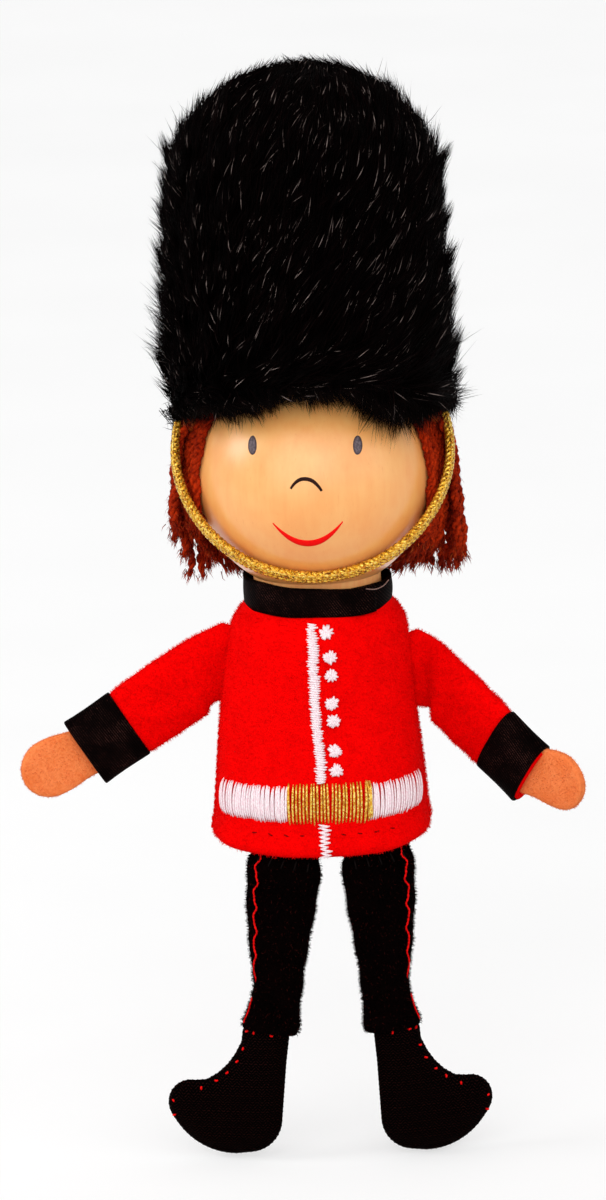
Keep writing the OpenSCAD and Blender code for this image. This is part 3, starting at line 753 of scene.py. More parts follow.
def add_fringe(shapes):
    """Soft fringe under the hem, thickest at the left temple."""
    left_temple = np.radians(chance.uniform(-66, -30, TEMPLE_TUFTS))
    angle = np.concatenate([chance.uniform(0, 2 * math.pi, FRINGE_TUFTS), left_temple])
    count = len(angle)
    inner = ball_reach(angle) + 0.2
    radius = inner + (HAT_CLOTH_R - 0.3 - inner) * np.sqrt(chance.uniform(0.0, 1.0, count))
    upright = np.tile([1.0, 0.0], (count, 1))
    middle, out, up, round_it = tufts_at(angle, hat_hem(radius * np.sin(angle)) + 0.7, radius, upright)
    drop = fringe_drop(angle)
    stray = chance.normal(size=(count, 3)) * 0.35
    spread = 0.12 - 0.05 * drop - 0.3 * np.maximum(-np.cos(angle), 0)
    direction = unit(spread[:, None] * out - 0.7 * up + 0.35 * round_it + stray)
    length = chance.uniform(1.6, 2.8, count) + drop
    add_fur(shapes, np.stack([middle, out, out, round_it]), direction, length, strands=16, loose=0.34)


def make_fur():
    """The whole fur, divided into parts so that no mesh grows too large."""
    shapes = [Shape() for _ in FUR_PARTS]
    add_coat(shapes)
    add_clumps(shapes)
    add_fringe(shapes)
    for shape, part in zip(shapes, FUR_PARTS):
        shape.piece("hat_fur_" + part, FUR, "head")


# Hair of thick yarn

# Angles from the puppet's left at which each hank starts and stops
HANKS = {"hair_left": (-22, 49), "hair_back": (50, 130), "hair_right": (131, 202)}
# Degrees from one yarn to the next close to the head, and from one rope to the next outside
YARN_APART = 3.0
ROPE_APART = 4.0


def hair_path(angle, lock, layer, end):
    """A strand from under the hat, down over the head, and hanging away from it below into its lock."""
    reach = HEAD_R + 0.5 + (2.4 if math.cos(angle) > 0 else 1.9) * layer
    top = hat_hem(13.5 * math.sin(angle)) + 1.2
    heights = np.linspace(top, end, 12)
    share = (top - heights) / (top - end)
    hug = np.sqrt(np.maximum(reach ** 2 - heights ** 2, 60))
    hang = np.where(heights < 0, reach + 0.1 * (-heights), hug)
    phase = chance.uniform(0, 2 * math.pi)
    radius = hug + (hang - hug) * (0.15 + 0.85 * layer) + 0.14 * np.sin(heights * 1.5 + 2 * phase)
    turn = angle + 0.6 * (lock - angle) * share ** 2 + 0.014 * np.sin(heights * 1.25 + phase)
    points = np.column_stack([radius * np.cos(turn), radius * np.sin(turn), HEAD_Z + heights])
    return smooth_path(points, 0.42)


def hair_end(angle):
    """Height at which the hair is cut: shorter at the sides of the face than behind."""
    side, behind = (-6.7, -14.8) if math.cos(angle) < 0 else (-11.0, -15.0)
    return side + (behind - side) * ease(math.sin(angle) * 1.6)


def add_yarn(yarn, fuzz, path, radius, strays):
    """A two-ply yarn with stray fibres along it and a frayed end."""
    yarn.twist(path, radius, plies=2, pitch=1.2 + 2.4 * radius, sides=6, ends=0.4)
    pick = chance.integers(2, len(path) - 1, strays)
    tangent = unit(path[pick] - path[pick - 2])
    out = unit(np.cross(tangent, chance.normal(size=(strays, 3))))
    roots = path[pick] + 0.8 * radius * out
    lengths = chance.uniform(0.5, 1.3, strays)[:, None]
    middles = roots + 0.5 * lengths * (0.5 * out + 0.6 * tangent)
    tips = roots + lengths * unit(0.45 * out + tangent + 0.4 * chance.normal(size=(strays, 3)))
    fuzz.fibres(roots, middles, tips, np.full(strays, 0.06), chance.random(strays))
    frayed = 18
    down = unit(path[-1] - path[-4])
    roots = path[-1] - 0.6 * down + 0.55 * radius * chance.normal(size=(frayed, 3))
    lengths = chance.uniform(0.8, 1.7, frayed)[:, None]
    tips = roots + lengths * unit(down + 0.28 * chance.normal(size=(frayed, 3)))
    middles = 0.5 * (roots + tips) + 0.1 * chance.normal(size=(frayed, 3))
    fuzz.fibres(roots, middles, tips, np.full(frayed, 0.14), chance.random(frayed))


def make_hair():
    """Hanks at the right, left and back: soft yarns close to the head, and thicker ropes outside them."""
    for name, (start, stop) in HANKS.items():
        yarn = Shape()
        fuzz = Shape()
        for layer in (0.0, 0.4):
            for place in np.arange(start, stop, YARN_APART):
                angle = math.radians(place + chance.uniform(-1.0, 1.0))
                face_side = min(max(0.0, -math.sin(angle) * 4.0), 1.0)
                tip = hair_end(angle) + 0.8 + 0.5 * chance.normal() + 0.8 * face_side
                path = hair_path(angle, angle, layer * (1 - 0.75 * face_side), tip)
                add_yarn(yarn, fuzz, path, chance.uniform(0.42, 0.54), strays=26)
        for place in np.arange(start + YARN_APART, stop, ROPE_APART):
            angle = math.radians(place + chance.uniform(-1.2, 1.2))
            if math.sin(angle) < -0.12:
                continue
            lock = angle + chance.uniform(-0.05, 0.05)
            tip = hair_end(angle) + 0.75 * chance.normal()
            path = hair_path(angle, lock, chance.uniform(0.8, 1.0), tip)
            add_yarn(yarn, fuzz, path, chance.uniform(0.5, 0.62), strays=90)
        yarn.piece(name + "_yarn", YARN, "head", [name])
        fuzz.piece(name + "_fuzz", YARN_FUZZ, "head")


# Chin strap of two gold cords

STRAP_LIFT = 0.7
CORD_R = 0.6
CORD_AHEAD = 0.58
EDGING_AHEAD = 1.12
EDGING_R = 0.16


def strap_path(ahead):
    """Arc of one cord from the right temple under the chin to the left one."""
    turn = np.linspace(math.pi - STRAP_RISE, 2 * math.pi + STRAP_RISE, 200)
    flat = np.column_stack([STRAP_BEND * np.cos(turn), np.full(200, -ahead),
                            STRAP_BEND * np.sin(turn) - STRAP_MIDDLE])
    path = flat @ turn_about("X", -STRAP_TILT).T + STRAP_PLACE
    path[:, 2] += STRAP_LIFT * ease((STRAP_PLACE[2] - path[:, 2]) / 14)
    return evenly(path, 0.2)


def make_strap():
    """Two twisted cords side by side, with fine threads along their edges and between them."""
    for name, ahead in (("chin_cord_upper", CORD_AHEAD), ("chin_cord_lower", -CORD_AHEAD)):
        cord = Shape().twist(strap_path(ahead), CORD_R, plies=3, pitch=2.0, sides=6, ends=0.9)
        cord.piece(name + "_gold", GOLD, "chin_strap", [name])
    for name, aheads, material in (("chin_strap_edging", (EDGING_AHEAD, -EDGING_AHEAD), GOLD_THREAD),
                                   ("chin_strap_line", (0.0,), STRAP_LINE)):
        strands = Shape()
        for ahead in aheads:
            path = strap_path(ahead)
            path += 0.25 * unit(path - STRAP_PLACE)
            strands.twist(path, EDGING_R, plies=2, pitch=0.9, sides=5, ends=0.9)
        strands.piece(name, material, "chin_strap")


# Painted face

# Degrees on the head: turned towards its left, and risen above its middle
FACE_TURN = -3.9
EYES_TURN = -4.6
EYES_APART = 28.1
EYES_RISE = 23.0
NOSE_HALF = 7.3
NOSE_RISE = 8.2
MOUTH_HALF = 17.2
MOUTH_RISE = -24.4
# Lift of the paint's edge, which lies just under the face of the wood
PAINT_EDGE = -0.02


def on_ball(turn, rise, lift):
    """Point on the head: turn towards its left from straight ahead, rise above its middle, in degrees."""
    turn, rise = np.radians(turn), np.radians(rise)
    out = np.stack([np.cos(rise) * np.sin(turn), -np.cos(rise) * np.cos(turn), np.sin(rise)], axis=-1)
    return (HEAD_R + lift) * out + HEAD_Z * UP


def make_eye(side):
    """Oval eye: a dark rim with a raised grey middle."""
    turns = circle(40)
    degrees = math.degrees(1 / HEAD_R)
    widen = degrees / math.cos(math.radians(EYES_RISE))
    for name, material, wide, tall, lift in (("rim", EYE_LINE, 0.66, 1.24, 0.05),
                                             ("grey", EYE_GREY, 0.5, 1.06, 0.09)):
        rings = []
        for share in (1.0, 0.85, 0.5, 0.1):
            above = tall * share * degrees * np.sin(turns)
            turn = EYES_TURN + side * EYES_APART + wide * share * widen * np.cos(turns) + 0.2 * side * above
            rings.append(on_ball(turn, EYES_RISE - 0.5 * side + above, PAINT_EDGE if share == 1.0 else lift))
        Shape().loft(rings).piece("eye_" + name + "_" + SIDE_NAMES[side], material, "head")


def make_stroke(name, material, turn, rise, width):
    """Brush stroke along a line on the head, with its edges down on the wood."""
    path = on_ball(turn, rise, 0)
    out = unit(path - HEAD_Z * UP)
    across = unit(np.cross(out, np.gradient(path, axis=0)))
    rows = []
    for share, lift in ((-1, PAINT_EDGE), (-0.7, 0.05), (0, 0.07), (0.7, 0.05), (1, PAINT_EDGE), (0, -0.1)):
        rows.append(path + across * (share * width / 2)[:, None] + out * lift)
    Shape().loft(np.stack(rows, axis=1)).piece(name, material, "head")


def make_face():
    """Eyes, nose and a smile."""
    for side in (RIGHT, LEFT):
        make_eye(side)
    share = np.linspace(-1, 1, 41)
    nose_rise = NOSE_RISE - 5.2 * np.abs(share) ** 2.3 - 0.7 * share
    nose_width = 0.52 * (1 - 0.4 * share ** 2) + 0.02 * share
    make_stroke("nose", NOSE_PAINT, FACE_TURN + NOSE_HALF * share, nose_rise, nose_width)
    mouth_rise = MOUTH_RISE + 11.0 * np.abs(share) ** 2.1
    mouth_width = 0.14 + 0.84 * (1 - share ** 2)
    make_stroke("mouth", MOUTH_PAINT, FACE_TURN + MOUTH_HALF * share, mouth_rise, mouth_width)


# Collar of satin ribbon

COLLAR_START = math.radians(-62)
COLLAR_LAP = 0.35
COLLAR_WALL = 0.4


def make_collar():
    """Ribbon once round the neck, its end lapped over at the left front, with a loose thread there."""
    angle = COLLAR_START + np.linspace(0, 2 * math.pi + COLLAR_LAP, 150)
    lap = 0.42 * ease((angle - COLLAR_START - 2 * math.pi + 0.15) / 0.3)
    drop = 0.1 * np.sin(2 * angle + 0.5) + 0.06 * np.sin(7 * angle)
    outer = []
    inner = []
    for share in np.linspace(0, 1, 9):
        height = COLLAR_LOW + share * (COLLAR_HIGH - COLLAR_LOW)
        belly = 0.14 * math.sin(math.pi * share) + 0.05 * np.sin(5 * angle + 3 * share)
        edge = 0.07 if share in (0.0, 1.0) else 0.0
        body = COLLAR_R + belly + lap
        for rows, radius in ((outer, body + edge), (inner, body - COLLAR_WALL)):
            x, y = radius * np.cos(angle), radius * np.sin(angle)
            rows.append(np.column_stack([x, y, height + drop - 0.037 * share * x]))
    Shape().cloth(outer, inner).piece("collar_satin", SATIN, "head", ["collar_ribbon"])
    around = np.radians([-52, -43, -33, -24])
    reach = COLLAR_R + 0.5
    loose = np.column_stack([reach * np.cos(around), reach * np.sin(around), (5.5, 5.2, 5.3, 5.75)])
    Shape().tube(smooth_path(loose, 0.15), 0.07, 5).piece("collar_loose_thread", LOOSE_THREAD, "head")


# Tunic of red velour, with its embroidery

TUNIC_ASIDE = -0.45
# Shares of the way from the neck to the belt at which the star buttons sit
STAR_PLACES = (0.07, 0.22, 0.33, 0.5, 0.61, 0.79, 0.91)
# Distance from the middle towards which the belt's stitches grow shorter
BELT_END = 13.1
VELOUR_NAP = {"length": 0.42, "width": 0.06}


def fall(z):
    """Share of the way from the tunic's neck to its hem."""
    return np.maximum(TUNIC_TOP - z, 0) / TUNIC_LEN


def tunic_half(hem, z):
    """Half the tunic's width or depth at a height, from its size at the hem."""
    return TUNIC_R + (hem / 2 - TUNIC_R) * fall(z) ** 0.8


def tunic_lift(turn, z):
    """How far the cloth stands off the CAD part's face: shoulder slope, soft folds, side seams and hem."""
    slope = -1.75 * np.maximum((z + 1 - 0.8 * np.cos(turn) ** 4) / 3.6, 0) ** 1.6
    folds = 0.2 * np.sin(4 * turn + 0.8 + 0.05 * z) + 0.08 * np.sin(9 * turn - 1.7 + 0.22 * z)
    return slope + folds * fall(z) - 0.3 * bell(np.sin(turn), 0, 0.05) + 0.22 * bell(z, HEM_Z + 0.9, 0.8)


def tunic_point(turn, z, lift):
    """Point on the tunic's cloth at an angle and a height, lifted off its outer face."""
    turn, z = np.broadcast_arrays(turn, z)
    lift = lift + tunic_lift(turn, z)
    power = 2 / (2 + 0.6 * fall(z))
    x = (tunic_half(HEM_W, z) + lift) * signed_power(np.cos(turn), power)
    y = (tunic_half(HEM_D, z) + lift) * signed_power(np.sin(turn), power)
    aside = TUNIC_ASIDE * ease(2 * fall(z))
    return np.stack([x + aside, y, z - HEM_DIP * fall(z) ** 5 * np.sin(turn) ** 2], axis=-1)


def on_front(x, z, lift):
    """Point on the front of the tunic's cloth at a width and a height."""
    share = signed_power(x / tunic_half(HEM_W, z), 1 + 0.3 * fall(z))
    return tunic_point(-np.arccos(share), z, lift)


def make_tunic_panel(name, start, stop, replaces):
    """One panel, from under the collar to a rolled hem, with its pile."""
    turn = np.linspace(start, stop, 110)[None, :]
    hang = np.concatenate([np.linspace(3.6, -1, 14), np.linspace(-1.6, HEM_Z + 0.4, 44)])
    z = np.append(hang, [HEM_Z + 0.15, HEM_Z])[:, None]
    outer = tunic_point(turn, z, np.append(0 * hang, [-0.1, -0.28])[:, None])
    inner = tunic_point(turn, z, np.append(0 * hang - TUNIC_WALL, [-0.62, -0.45])[:, None])
    panel = Shape().cloth(outer, inner).piece(name + "_velour", VELOUR, None, replaces)
    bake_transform(panel)
    pile = nap(outer, count=19000, **VELOUR_NAP, lean=(0, 0, -0.25), closed=False, top=TUNIC_TOP)
    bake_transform(pile.piece(name + "_pile", VELOUR_PILE))


def add_stitch(shape, start, end, radius, height, base=0.02):
    """A thread laid over the tunic's front between two places (x, z), rounded up in the middle."""
    share = np.linspace(0, 1, 9)
    x = start[0] + (end[0] - start[0]) * share
    z = start[1] + (end[1] - start[1]) * share
    arch = np.sin(math.pi * share)
    shape.tube(on_front(x, z, base + height * arch ** 0.6), radius * (0.55 + 0.45 * arch ** 0.5))


def make_front_lines():
    """White zigzag stitches down the front, close above the belt and wider below it."""
    for name, left, slant, top, bottom, pitch in (
            ("front_line_upper", -1.6, 1.1, 1.75, BELT_TOP + 0.35, 0.3),
            ("front_line_lower", -0.4, 0.1, BELT_BOTTOM + 0.3, HEM_Z + 0.05, 0.42)):
        lines = Shape()
        count = round((top - bottom) / pitch)
        for i in range(count):
            z = top - i * (top - bottom) / count
            edge = left + slant * i / count + 0.1 * chance.normal(size=2)
            wide = 1.28 + 0.1 * chance.normal()
            add_stitch(lines, (edge[0], z), (edge[0] + wide, z - 0.55 * pitch), 0.15, 0.3)
            add_stitch(lines, (edge[0] + wide, z - 0.5 * pitch), (edge[1], z - pitch), 0.13, 0.22)
        made = lines.piece(name + "_stitches", WHITE_THREAD, None, [name])
        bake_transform(made)


def make_stars():
    """Seven small stars of white thread, each of short stitches from a raised middle."""
    stars = Shape()
    rays = 22
    for i, place in enumerate(STAR_PLACES):
        x = 0.9 + math.sqrt(i / (len(STAR_PLACES) - 1))
        z = TUNIC_TOP + (BELT_TOP - TUNIC_TOP) * place
        for ray in range(rays):
            turn = 2 * math.pi * (ray + 0.4 * chance.normal()) / rays
            reach = chance.uniform(0.6, 0.95)
            start = (x - 0.12 * math.cos(turn), z - 0.12 * math.sin(turn))
            end = (x + reach * math.cos(turn), z + reach * math.sin(turn))
            add_stitch(stars, start, end, 0.17, 0.22, base=0.12)
    made = stars.piece("star_stitches", WHITE_THREAD, None, ["star_buttons"])
    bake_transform(made)


def make_belt():
    """Belt of upright satin stitches, white at the sides and gold at the buckle."""
    for name, left, right, pitch, above, below, material in (
            ("belt_right", -12.1, -4.2, 0.25, -0.1, 0.55, WHITE_THREAD),
            ("belt_buckle", -3.95, 5.75, 0.44, 0.25, 0.4, GOLD_THREAD),
            ("belt_left", 6.05, 12.7, 0.29, -0.1, 0.55, WHITE_THREAD)):
        threads = Shape()
        for x in np.arange(left, right, pitch):
            shorter = 0.4 * (1 - min(1.0, (BELT_END - abs(x)) / 0.9))
            top = BELT_TOP + above - shorter + 0.07 * chance.normal()
            bottom = BELT_BOTTOM + below + shorter + 0.07 * chance.normal()
            slant = 0.07 * chance.normal()
            add_stitch(threads, (x + slant, top), (x - 0.12, bottom), 0.155 + 0.015 * chance.normal(), 0.4)
        if material is GOLD_THREAD:
            add_stitch(threads, (right - 0.2, BELT_TOP + 0.4), (right + 0.25, BELT_BOTTOM + 0.6), 0.2, 0.55)
            add_stitch(threads, (right + 0.2, BELT_TOP + 0.3), (right - 0.1, BELT_BOTTOM + 0.4), 0.18, 0.62)
        threads.piece(name + "_stitches", material, "torso", [name])


def make_tunic_stitches():
    """Dark dashes that hold the legs, and red whip stitches down the side seams."""
    dashes = Shape()
    level = HEM_Z + 2.4
    for x in (-8.6, -6.6, -4.6, -2.6, 2.6, 4.6, 6.6, 8.6):
        tilt = 0.06 * chance.normal()
        add_stitch(dashes, (x - 0.27, level - tilt), (x + 0.27, level + tilt), 0.08, 0.05)
    dashes.piece("leg_seam_dashes", DARK_THREAD, "torso", ["leg_seam_stitches"])
    share = np.linspace(-1, 1, 7)
    for side, middle in ((RIGHT, math.pi), (LEFT, 0)):
        seam = Shape()
        name = SIDE_NAMES[side] + "_side_seam"
        for z in np.arange(-13.6, HEM_Z + 0.8, -1.0):
            lift = 0.12 + 0.1 * (1 - share ** 2)
            seam.tube(tunic_point(middle + 0.075 * share, z - 0.3 * share, lift), 0.13)
        seam.piece(name + "_stitches", RED_THREAD, "torso", [name])


def make_tunic():
    """Both panels and all that is sewn on them."""
    make_tunic_panel("tunic_front", -math.pi, 0, ["tunic_front"])
    make_tunic_panel("tunic_back", 0, math.pi, ["tunic_back", "tunic_neck_edge"])
    make_front_lines()
    make_stars()
    make_belt()
    make_tunic_stitches()


# Limbs

class Limb:
    """An arm or a leg. Its pieces are built in its own frame and then placed on the puppet."""

    def __init__(self, side, kind, seam, bend):
        self.side = side
        self.name = SIDE_NAMES[side]
        self.body = self.name + kind
        self.seam = np.array(seam)
        self.bend = np.array(bend)

    def finish(self, shape, part, material, replaces=(), bends=False):
        """Makes a piece of the limb. One that bends is not attached to the limb's body, and its place is kept
        in its points.
        """
        nodes = [self.name + node for node in replaces]
        body = None if bends else self.body
        made = shape.piece(self.name + part, material, body, nodes, self.place, self.side == RIGHT)
        if bends:
            start, end = self.place(self.bend) * MM
            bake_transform(made)
        return made


# Arms

SLEEVE_TALL = 5.1
SLEEVE_THICK = 0.95
CUFF_TALL = 4.75
CUFF_THICK = 1.8
CUFF_WALL = 0.3
# Distance along the arm, and how far the cuff stands out there
CUFF_PROFILE = ((13.15, -0.12), (13.25, 0.03), (13.6, 0.05), (15.2, 0.0), (16.8, -0.03), (18.4, 0.0),
                (19.3, 0.05), (19.65, 0.06), (19.78, -0.05))
HAND_THICK = 0.6


class Arm(Limb):
    """One arm in the frame of its shoulder seam: x away from the tunic, z up along the seam."""

    def __init__(self, side, shoulder, lean, droop, forward, hand_lift, sleeve_end, stretch):
        super().__init__(side, "_arm", shoulder, [[-0.6, 0, 0], [2.6, 0, 0]])
        self.sleeve_end = sleeve_end
        self.lean = turn_about("Y", -math.radians(lean))
        self.forward = math.radians(forward)
        self.hand_lift = math.radians(hand_lift)
        down = math.radians(droop + lean)
        self.along = stretch * np.array([math.cos(down), 0, -math.sin(down)])
        self.up = np.array([math.sin(down), 0, math.cos(down)])

    def place(self, points):
        return self.hang(points @ turn_about("Z", -self.forward).T)

    def hang(self, points):
        """From the frame of the seam, before the arm turns forward, to the part's frame."""
        return (points @ self.lean.T + self.seam) * np.array([self.side, 1, 1])

    def ring(self, reach, tall, thick, power=2.3, columns=48):
        """Oval across the arm. At the shoulder it stands along the seam and square to the tunic."""
        high, deep = oval(columns, tall, thick, power)
        square = ease(reach / 6)
        upward = unit((1 - square) * UP + square * self.up)
        middle = np.array([reach, 0, 0]) if reach < 0 else reach * self.along
        points = middle + np.outer(high, upward) + np.outer(deep, BACK)
        return points @ turn_about("Z", self.forward * (1 - ease((reach + 1.2) / 5))).T


def make_shoulder_stitches(arm):
    """Red whip stitches that hold the sleeve to the tunic, in front and behind."""
    seam = Shape()
    share = np.linspace(-1, 1, 7)
    for face in (-1, 1):
        for height in np.arange(-3.3, 3.4, 1.1):
            deep = face * (0.5 + 0.14 * (1 - share ** 2))
            seam.tube(arm.hang(np.column_stack([-0.9 + 0.5 * share, deep, height - 0.25 * share])), 0.11)
    seam.piece(arm.name + "_shoulder_stitches", RED_THREAD, "torso", [arm.name + "_shoulder_thread"])


def make_sleeve(arm):
    """Sleeve of velour, pinched at the seam, with its end inside the cuff."""
    shown = np.linspace(-2.4, 13.1, 44)
    covered = np.linspace(13.5, arm.sleeve_end, 10)
    outer = []
    inner = []
    for reach in np.concatenate([shown, covered]):
        share = ease(reach / 5)
        puff = 0.2 * math.sin(math.pi * min(max(reach / 14, 0), 1))
        under = 0.3 * ease((reach - 12.7) / 0.9)
        tall = SLEEVE_TALL - 0.52 * share + puff - under + 0.22 * min(reach, 0)
        thick = SLEEVE_THICK + 0.72 * share + puff - under
        outer.append(arm.ring(reach, tall, thick))
        inner.append(arm.ring(reach - 0.1 * ease((reach - 19) / 0.3), tall - 0.5, thick - 0.4))
    layers = np.array([outer, inner])
    rows = np.arange(len(outer))
    waves = 0.1 * np.outer(np.sin(rows * 0.55), np.sin(np.linspace(0, 4 * math.pi, 48)))
    layers[..., 1] += waves * ease(np.linspace(0, 3, len(outer)))[:, None]
    arm.finish(Shape().cloth(*layers, True), "_sleeve_velour", VELOUR, ["_sleeve"], True)
    pile = nap(layers[0][3:len(shown)], count=9200, **VELOUR_NAP, lean=0.2 * arm.along)
    arm.finish(pile, "_sleeve_pile", VELOUR_PILE, (), True)


def make_cuff(arm):
    """Satin cuff, folded flat with a crease above and below, its edges turned under."""
    outer = []
    inner = []
    for reach, swell in CUFF_PROFILE:
        outer.append(arm.ring(reach, CUFF_TALL + swell, CUFF_THICK + swell, 2.5, 64))
        less = CUFF_WALL - 0.3 * swell
        inner.append(arm.ring(reach, CUFF_TALL - less, CUFF_THICK - less, 2.5, 64))
    arm.finish(Shape().cloth(outer, inner, True), "_cuff_satin", SATIN, ["_cuff"])


def make_hand(arm):
    """Felt tongue with a round end, bent up a little where it leaves the cuff."""
    bend = ARM_LEN - 0.7
    radius = HAND_W / 2
    round_from = ARM_LEN + HAND_LEN - radius
    reaches = np.concatenate([np.linspace(16.0, round_from, 14),
                              round_from + radius * np.sin(np.linspace(0.12, 0.5 * math.pi - 0.02, 16))])
    rings = []
    for reach in reaches:
        over = max(reach - round_from, 0) / radius
        half = radius * math.sqrt(max(1 - over ** 2, 0.002)) * (0.86 + 0.14 * ease((reach - ARM_LEN) / 4))
        high, deep = oval(56, half, min(HAND_THICK, 0.2 + 0.5 * half), 4.5)
        lift = arm.hand_lift * ease((reach - bend + 1.5) / 3)
        along = math.cos(lift) * arm.along + math.sin(lift) * arm.up
        upward = math.cos(lift) * arm.up - math.sin(lift) * arm.along
        middle = bend * arm.along + (reach - bend) * along
        curl = -0.35 * max((reach - ARM_LEN) / HAND_LEN, 0) ** 2
        rings.append(middle + np.outer(high, upward) + np.outer(deep + curl, BACK))
    arm.finish(Shape().loft(rings), "_hand_felt", FELT, ["_hand"])
    fuzz = nap(np.array(rings), count=5200, length=0.26, width=0.05, spread=0.7)
    arm.finish(fuzz, "_hand_fuzz", FELT_PILE)


def make_arms():
    """Both arms, each hanging in its own way."""
    for arm in (Arm(RIGHT, (12.764, 0, -4.9), lean=6.68, droop=31.6, forward=7, hand_lift=9.8,
                    sleeve_end=19.35, stretch=1.03),
                Arm(LEFT, (12.954, 0, -6.6), lean=6.34, droop=34.5, forward=41, hand_lift=29.0,
                    sleeve_end=20.05, stretch=1.015)):
        make_shoulder_stitches(arm)
        make_sleeve(arm)
        make_cuff(arm)
        make_hand(arm)


# Legs

TROUSER_ROUND = 2.4
# How far the wadding swells each layer of a boot, and how far from the edge it has done so
BOOT_PUFF = 1.5
BOOT_SLOPE = 3.4


class Leg(Limb):
    """One leg in its own frame: x outwards, y back, z up along the splayed leg from the hip."""

    def __init__(self, side, hip, turn, splay):
        super().__init__(side, "_leg", hip, [[0, 0, 1.6], [0, 0, -2.6]])
        self.turned = turn_about("Z", math.radians(turn)) @ turn_about("Y", -math.radians(splay))

    def place(self, points):
        return (points @ self.turned.T + self.seam) * np.array([self.side, 1, 1])


def trouser_size(down):
    """Half width and half thickness of the trouser at a distance below the hip."""
    half = np.interp(down, [-5, -1.5, 0, 5, 10.5, 16.2, 19.6, 21, 21.8],
                     [3.6, 4.3, 4.7, 4.45, 3.75, 3.0, 3.3, 3.6, 3.5])
    thick = np.interp(down, [-5, -1.5, 0, 5, 16.2, 19.6, 21, 21.8], [0.7, 0.9, 1.2, 1.6, 1.6, 1.75, 2.0, 1.9])
    return half, thick


def trouser_aside(down):
    """How far the trouser's middle lies to the inside of the leg's axis: it is nipped in on the outside."""
    return np.interp(down, [0, 5, 9, 13, 15.8, 19.4, 21.8], [0, 0.1, 0.27, 0.52, 0.9, 0.7, 0.45])


def trouser_front(share, down, lift):
    """Point on the front of the trouser, at a share of its half width."""
    half, thick = trouser_size(down)
    deep = (thick + lift) * (1 - np.abs(share) ** TROUSER_ROUND) ** (1 / TROUSER_ROUND)
    return np.stack([share * half - trouser_aside(down), -deep, -down + 0 * share], axis=-1)


def make_hip_stitches(leg):
    """Black whip stitches at the hip, where the trouser hangs from its tab."""
    seam = Shape()
    share = np.linspace(-1, 1, 7)
    for across in np.arange(-0.7, 0.8, 0.35):
        path = trouser_front(across + 0.03 * share, 0.6 * share - 0.4, 0.1 + 0.1 * (1 - share ** 2))
        seam.tube(leg.place(path), 0.1)
    seam.piece(leg.name + "_hip_stitches", HIP_THREAD, "torso", [leg.name + "_hip_thread"])


def make_trouser(leg):
    """Fleece trouser from inside the tunic to a rolled cuff, with its pile."""
    columns = 48
    outer = []
    inner = []
    for down in np.concatenate([np.linspace(-5, 20.6, 40), np.linspace(20.9, TROUSER_LEN + 0.1, 5)]):
        half, thick = trouser_size(down)
        aside = 0.08 * math.sin(1.3 * down) * np.cos(3 * circle(columns)) - trouser_aside(down)
        for rows, less, level in ((outer, 0.0, down), (inner, 0.4, min(down, TROUSER_LEN - 0.1))):
            wide, deep = oval(columns, half - 1.4 * less, thick - less, TROUSER_ROUND)
            rows.append(np.column_stack([wide + aside, deep, np.full(columns, -level)]))
    trouser = Shape().cloth(outer, inner, True)
    leg.finish(trouser, "_trouser_fleece", FLEECE, ["_trouser", "_leg_tab"], True)
    pile = nap(np.array(outer[4:]), count=10500, length=0.5, width=0.075, lean=(0, 0, -0.3), spread=0.6)
    leg.finish(pile, "_trouser_pile", FLEECE_PILE, (), True)


def make_stripe(leg):
    """Red thread that wavers down the trouser's outside, with one more stitch on its cuff."""
    down = np.linspace(-1.8, 15.6, 150)
    sway = 0.05 * np.sin(2 * math.pi * down / 3.2) + 0.015 * np.sin(4.1 * down)
    share = np.interp(down, [0, 9, 13, 15.6], [0.69, 0.7, 0.79, 0.92]) + sway
    lift = 0.3 + 0.14 * np.sin(2 * math.pi * down / 1.6)
    cuff = trouser_front(np.full(12, 0.93), np.linspace(17.6, 21.2, 12), 0.5)
    stripe = Shape()
    for path in (trouser_front(share, down, lift), cuff):
        stripe.twist(path, 0.13, plies=2, pitch=1.0, sides=5, ends=0.5)
    leg.finish(stripe, "_stripe_stitches", RED_THREAD, ["_trouser_stripe"], True)


def arc(x, y, radius, start, stop):
    """Points along an arc, given in shares of the boot's height."""
    turns = np.radians(np.linspace(start, stop, 9))
    return BOOT_H * np.column_stack([x + radius * np.cos(turns), y + radius * np.sin(turns)])


def boot_outline():
    """Outline of a boot from the CAD part: x outwards to the toe, y up from the trouser's cuff."""
    back = [(2.1, 3.4), (-2.1, 3.4), (-2.5, 0.6), (-3.0, -0.6), (-3.0, -0.24 * BOOT_H)]
    heel = arc(0.075, -0.71, 0.27, 182, 254)
    sole = arc(0.21, -0.5, 0.51, 260, 318)
    toe = arc(0.5, -0.67, 0.18, -42, 92)
    instep = BOOT_H * np.array([(0.41, -0.47), (0.33, -0.405), (0.265, -0.325), (0.215, -0.235)])
    front = [(3.0, -0.13 * BOOT_H), (3.0, -0.6), (2.5, 0.6), (2.1, 3.4)]
    return evenly(np.vstack([back, heel, sole, toe, instep, front]), 0.32)[:-1]


def edge_distance(places, outline):
    """Distance of each place to an outline, in the plane."""
    run = np.roll(outline, -1, axis=0) - outline
    offset = places[:, None] - outline[None]
    share = np.clip(np.sum(offset * run, axis=-1) / np.sum(run * run, axis=-1), 0, 1)
    return np.linalg.norm(offset - share[..., None] * run, axis=-1).min(axis=1)


def inside(places, outline):
    """Which places lie within an outline, by counting crossings."""
    x, y = places[:, :1], places[:, 1:]
    after = np.roll(outline, -1, axis=0)
    run = after - outline
    crosses = (outline[:, 1] > y) != (after[:, 1] > y)
    rise = np.where(run[:, 1] == 0, 1, run[:, 1])
    where = outline[:, 0] + (y - outline[:, 1]) * run[:, 0] / rise
    return np.sum(crosses & (x < where), axis=1) % 2 == 1


